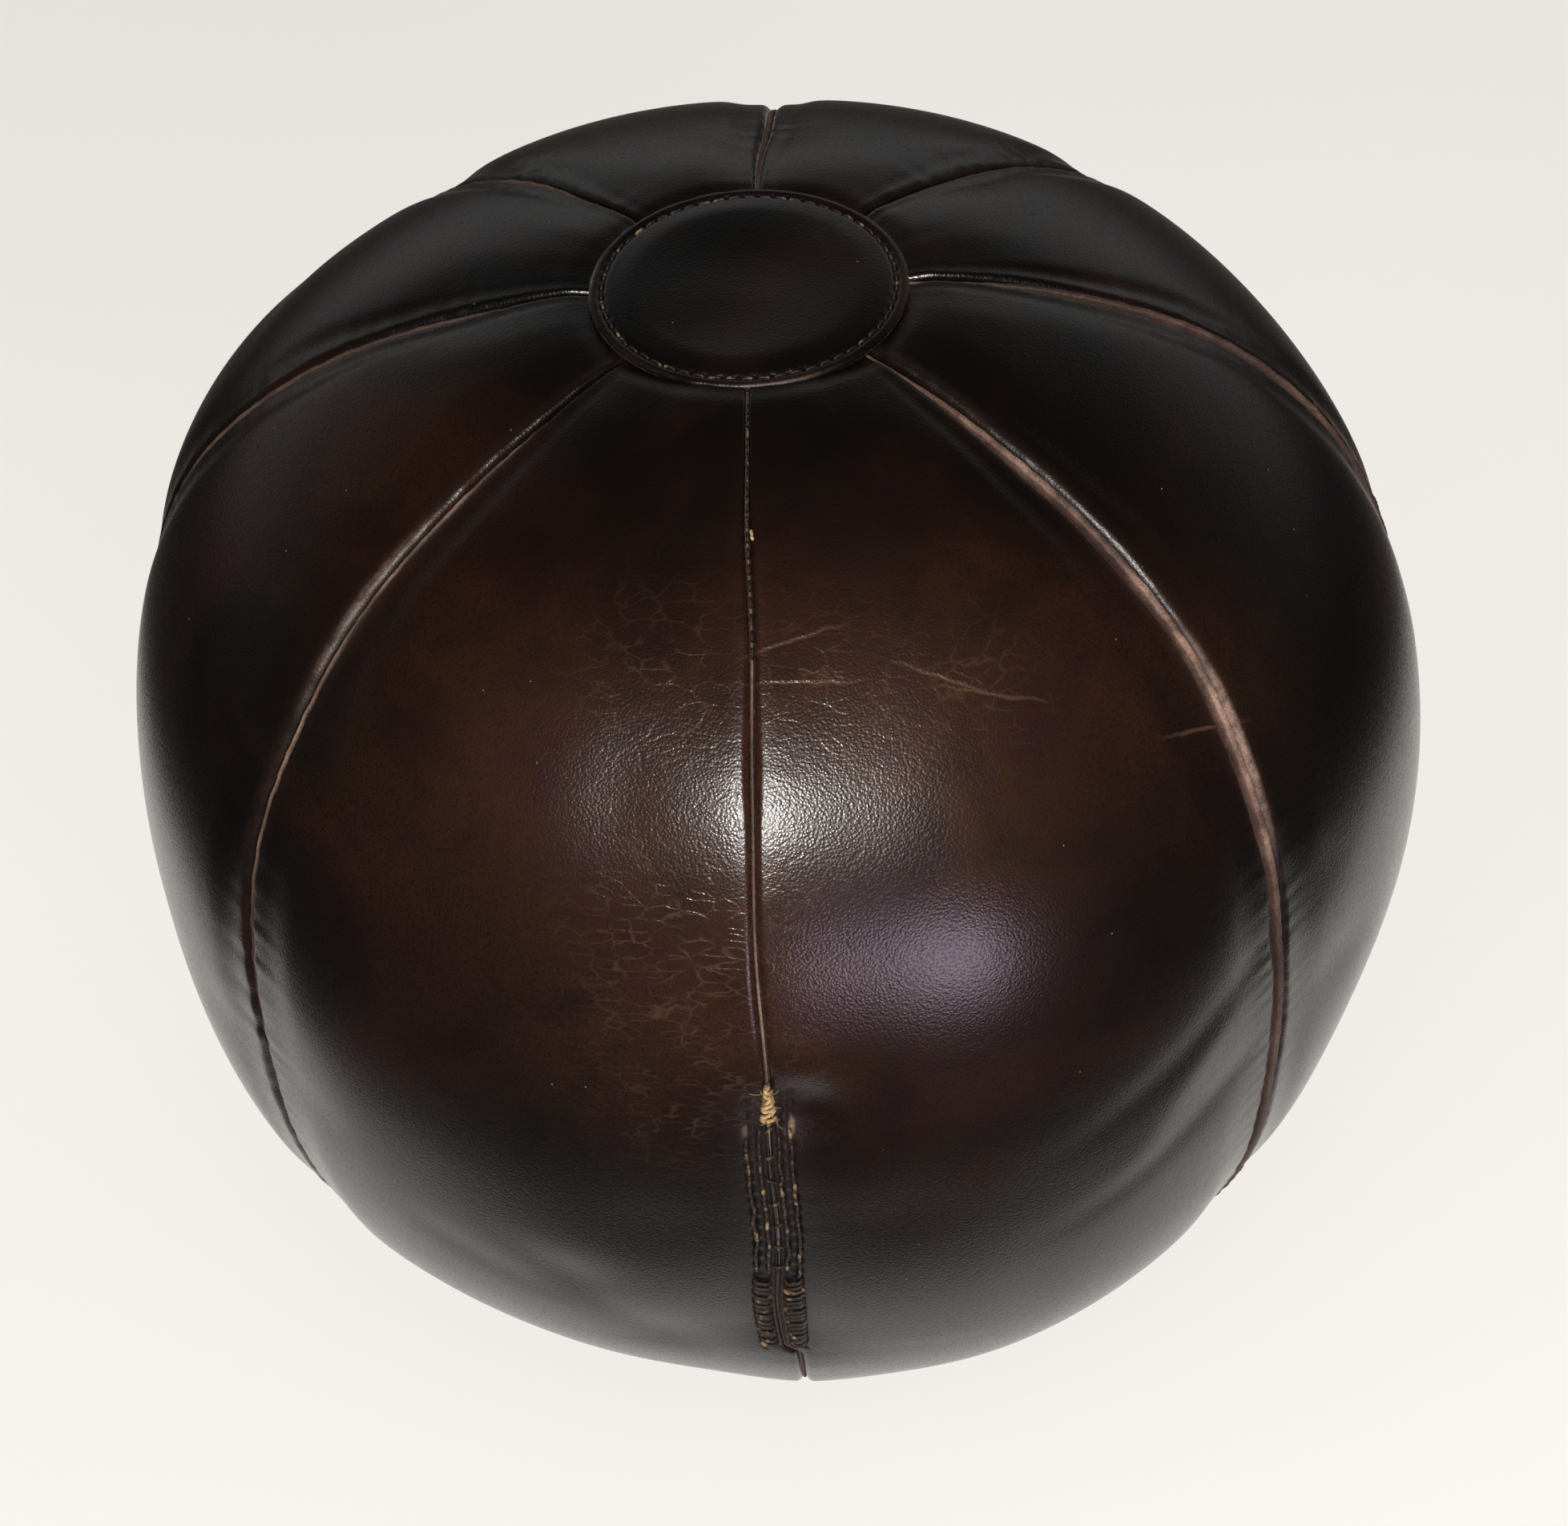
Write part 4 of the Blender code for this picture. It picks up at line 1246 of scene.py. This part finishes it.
def add_cap(name, node, upper):
    """A closed disc in rings: cap_height inside, a quarter circle at the rim, and the form beneath."""
    angle = 2 * np.pi * np.arange(CAP_COLUMNS)[None, :] / CAP_COLUMNS
    edge = 0.00012 * line_waves(angle * 40, 9.0, seed=21 + upper) * np.abs(np.sin(angle / 2))
    coarse = np.linspace(CAP_MIDDLE, 0.031, 34)
    fine = np.linspace(0.0315, CAP_RADIUS - CAP_RIM_ROUND, 26)
    inside = np.concatenate([coarse, fine])[:, None]
    face = cap_height(inside + 0 * angle, angle, upper)
    rim_turn = np.linspace(0, math.pi / 2, 6)[1:, None]
    rim_out = CAP_RADIUS - CAP_RIM_ROUND * (1 - np.sin(rim_turn)) + edge
    rim_up = face[-1:] - CAP_RIM_ROUND * (1 - np.cos(rim_turn))
    under_radius = np.array([CAP_RADIUS - 0.0002, 0.034, 0.020, CAP_MIDDLE])[:, None] + 0 * angle
    under = skin_height(under_radius) + pole_fill(under_radius) + CAP_LIFT
    out = np.concatenate([inside + 0 * angle, rim_out, under_radius])
    height = np.concatenate([face, rim_up, under])
    if not upper:
        height = -height
    points = np.stack([out * np.cos(angle), out * np.sin(angle), CENTRE_HEIGHT + height], -1)
    rows, columns = points.shape[:2]
    poles = [[0, 0, points[0, :, 2].mean()], [0, 0, points[-1, :, 2].mean()]]
    first, last = np.arange(columns), np.arange(columns) + (rows - 1) * columns
    faces = [grid_quads(rows, columns, closed=True), fan(rows * columns, first)]
    faces.append(fan(rows * columns + 1, last[::-1]))
    if not upper:
        faces = [group[:, ::-1] for group in faces]
    crest = np.exp(-(((out - CAP_RADIUS) / 0.0012) ** 2))
    crest = crest * (0.30 + 0.25 * line_waves(angle * 10, 14.0, seed=23))
    worn = np.concatenate([np.clip(crest, 0, 1).ravel(), [0, 0]])
    piece = add_piece(name, np.concatenate([points.reshape(-1, 3), poles]), faces, ESPRESSO, worn=worn)
    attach(piece, "root")
    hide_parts(node)


def cap_stitches(upper):
    """The ring of stitches in a cap's groove, each from one hole to the next."""
    hole = 2 * np.pi * np.arange(CAP_STITCHES) / CAP_STITCHES
    inset = HOLE_GAP / CAP_STITCH_RADIUS
    ends = []
    for angle in (hole + inset, hole + 2 * np.pi / CAP_STITCHES - inset):
        radius = CAP_STITCH_RADIUS + 0.00012 * line_waves(angle, 0.4, seed=27)
        height = cap_height(radius, angle, upper) + 0.00022
        height = height if upper else -height
        ends.append(np.stack([radius * np.cos(angle), radius * np.sin(angle), CENTRE_HEIGHT + height], -1))
    normals = np.tile([0.0, 0.0, 1.0 if upper else -1.0], (CAP_STITCHES, 1))
    return stitch_tubes(ends[0], ends[1], normals, 0.00038, 0.00012, 0.0007)


for upper, end_name in ((True, "top"), (False, "bottom")):
    add_cap(f"leather_cap_{end_name}", f"{end_name}_cap", upper)
    add_thread(
        f"cap_stitches_{end_name}", [cap_stitches(upper)], WAXED, f"{end_name}_cap_thread"
    )

# ---------------------------------------------------------------------------------------------------
# Hidden pieces
# The lines of stitches inside the seams, the backing discs under the caps and the facings behind the
# lips of the mouth are as the frame gives them, and take the finish of their own thread and leather.
# ---------------------------------------------------------------------------------------------------


def raw_leather_finish():
    """Undyed leather, flesh side out: tan with loose, matted fibres."""
    leather = Finish("raw_leather")
    fibres = leather.noise(900.0, 5.0, 0.7)
    patch = leather.noise(60.0, 3.0, 0.6)
    light = leather.ramp(fibres, (0.3, (0.260, 0.150, 0.080)), (0.7, (0.460, 0.300, 0.180)))
    shade = leather.ramp(patch, (0.4, 0.0), (0.7, 0.5))
    leather.set(Base_Color=leather.mix(shade, light, (0.20, 0.11, 0.06)))
    leather.set(Roughness=0.9, Normal=leather.bump(fibres, 0.00025))
    return leather.material


RAW_LEATHER = raw_leather_finish()
for name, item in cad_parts.items():
    if "seam_thread" in name:
        finish = WAXED
    elif "backing" in name or "facing" in name:
        finish = RAW_LEATHER
    else:
        continue
    shown = bpy.data.objects[name]
    shown.data.materials.clear()
    shown.data.materials.append(finish)

# ---------------------------------------------------------------------------------------------------
# Studio
# A plain pale floor, a soft box behind the camera, a low soft light from the right and a dim room. The
# camera looks down on the ball at 45 degrees, from just right of the mouth.
# ---------------------------------------------------------------------------------------------------
CAMERA_AZIMUTH = 2.7
CAMERA_ELEVATION = 45.0
CAMERA_DISTANCE = 5.38 * EQUATOR_RADIUS
CAMERA_ROLL = math.radians(-3.6)
AIM_BELOW = 0.0110  # the ball's middle, in radians
AIM_RIGHT = 0.0023
ball_middle = Vector((0, 0, CENTRE_HEIGHT))


def towards(azimuth, elevation):
    """Unit vector towards an azimuth, counter-clockwise from -Y, and an elevation, in degrees."""
    azimuth, elevation = math.radians(azimuth), math.radians(elevation)
    level = math.cos(elevation)
    return Vector((level * math.sin(azimuth), -level * math.cos(azimuth), math.sin(elevation)))


def add_soft_light(name, azimuth, elevation, distance, size, power, colour):
    """A disc of light that faces the ball from a distance in a direction."""
    data = bpy.data.lights.new(name, "AREA")
    data.shape = "DISK"
    data.size = size
    data.energy = power
    data.color = colour
    light = bpy.data.objects.new(name, data)
    bpy.context.scene.collection.objects.link(light)
    back = towards(azimuth, elevation)
    turn = back.to_track_quat("Z", "Y").to_matrix().to_4x4()
    light.matrix_world = Matrix.Translation(ball_middle + back * distance) @ turn


camera_data = bpy.data.cameras.new("camera")
camera_data.lens = 76.1
camera_data.sensor_width = 36.0
camera = bpy.data.objects.new("camera", camera_data)
bpy.context.scene.collection.objects.link(camera)
camera_back = towards(CAMERA_AZIMUTH, CAMERA_ELEVATION)
camera_turn = camera_back.to_track_quat("Z", "Y").to_matrix() @ Matrix.Rotation(CAMERA_ROLL, 3, "Z")
camera_turn = camera_turn @ Euler((-AIM_BELOW, -AIM_RIGHT, 0)).to_matrix()
camera.matrix_world = Matrix.Translation(ball_middle + camera_back * CAMERA_DISTANCE) @ camera_turn.to_4x4()
bpy.context.scene.camera = camera

add_soft_light("soft_box", 0.2, 46.0, 8.0, 0.80, 750.0, (1.0, 0.985, 0.955))
add_soft_light("low_light", 22.0, 3.0, 1.5, 0.56, 6.4, (0.95, 0.80, 1.0))


def add_room():
    """A room that mirrors dim, palest low down behind the ball, fills shadows, and looks pale itself."""
    world = bpy.data.worlds.new("room")
    world.use_nodes = True
    tree = world.node_tree
    place = tree.nodes.new("ShaderNodeTexCoord").outputs["Generated"]
    split = tree.nodes.new("ShaderNodeSeparateXYZ")
    tree.links.new(place, split.inputs["Vector"])
    tones = []
    for axis, stops in (
        ("Z", ((0.0, 0.42), (0.18, 0.36), (0.45, 0.20), (0.70, 0.06), (1.0, 0.03))),
        ("Y", ((0.0, 0.12), (0.4, 0.30), (0.85, 1.0))),
    ):
        ramp = tree.nodes.new("ShaderNodeValToRGB")
        tree.links.new(split.outputs[axis], ramp.inputs["Fac"])
        for _ in stops[2:]:
            ramp.color_ramp.elements.new(0.5)
        for element, (spot, tone) in zip(ramp.color_ramp.elements, stops):
            element.position = spot
            element.color = (tone, tone, tone, 1.0)
        tones.append(ramp.outputs["Color"])
    dim = tree.nodes.new("ShaderNodeMath")
    dim.operation = "MULTIPLY"
    rays = tree.nodes.new("ShaderNodeLightPath").outputs
    filled, seen = tree.nodes.new("ShaderNodeMix"), tree.nodes.new("ShaderNodeMix")
    filled.inputs["B"].default_value = 0.20
    seen.inputs["B"].default_value = 0.82
    background = tree.nodes["Background"]
    for source, target in (
        (tones[0], dim.inputs[0]),
        (tones[1], dim.inputs[1]),
        (dim.outputs["Value"], filled.inputs["A"]),
        (rays["Is Diffuse Ray"], filled.inputs["Factor"]),
        (filled.outputs["Result"], seen.inputs["A"]),
        (rays["Is Camera Ray"], seen.inputs["Factor"]),
        (seen.outputs["Result"], background.inputs["Strength"]),
    ):
        tree.links.new(source, target)
    background.inputs["Color"].default_value = (0.98, 0.97, 0.96, 1.0)
    bpy.context.scene.world = world


def floor_finish():
    """Pale matt paper. Its reflection in the leather fades out past a longish patch under the ball."""
    paper = Finish("pale_floor")
    pale = paper.ramp(paper.noise(1.4, 2.0), (0.3, (0.86, 0.84, 0.81)), (0.7, (0.89, 0.88, 0.86)))
    spread = paper.vector("MULTIPLY", paper.place, (0.77, 1.0, 1.0))
    reach = paper.vector("LENGTH", paper.vector("SUBTRACT", spread, (0.0, 0.05, 0.0)))
    sheet = paper.ramp(reach, (0.27, 1.0), (0.30, 0.20), (0.34, 0.05), (0.42, 0.01))
    glossy = paper.tree.nodes.new("ShaderNodeLightPath").outputs["Is Glossy Ray"]
    hidden = paper.maths("MULTIPLY", glossy, paper.maths("SUBTRACT", 1.0, sheet))
    paper.set(Base_Color=paper.mix(hidden, pale, (0.0, 0.0, 0.0)), Roughness=0.9)
    return paper.material


add_room()
bpy.context.scene.view_settings.view_transform = "Standard"
FLOOR_REACH = 40.0
floor_points = FLOOR_REACH * np.array([(-1, -1, 0), (1, -1, 0), (1, 1, 0), (-1, 1, 0)], float)
floor = add_piece("floor", floor_points, [np.array([[0, 1, 2, 3]])], floor_finish())
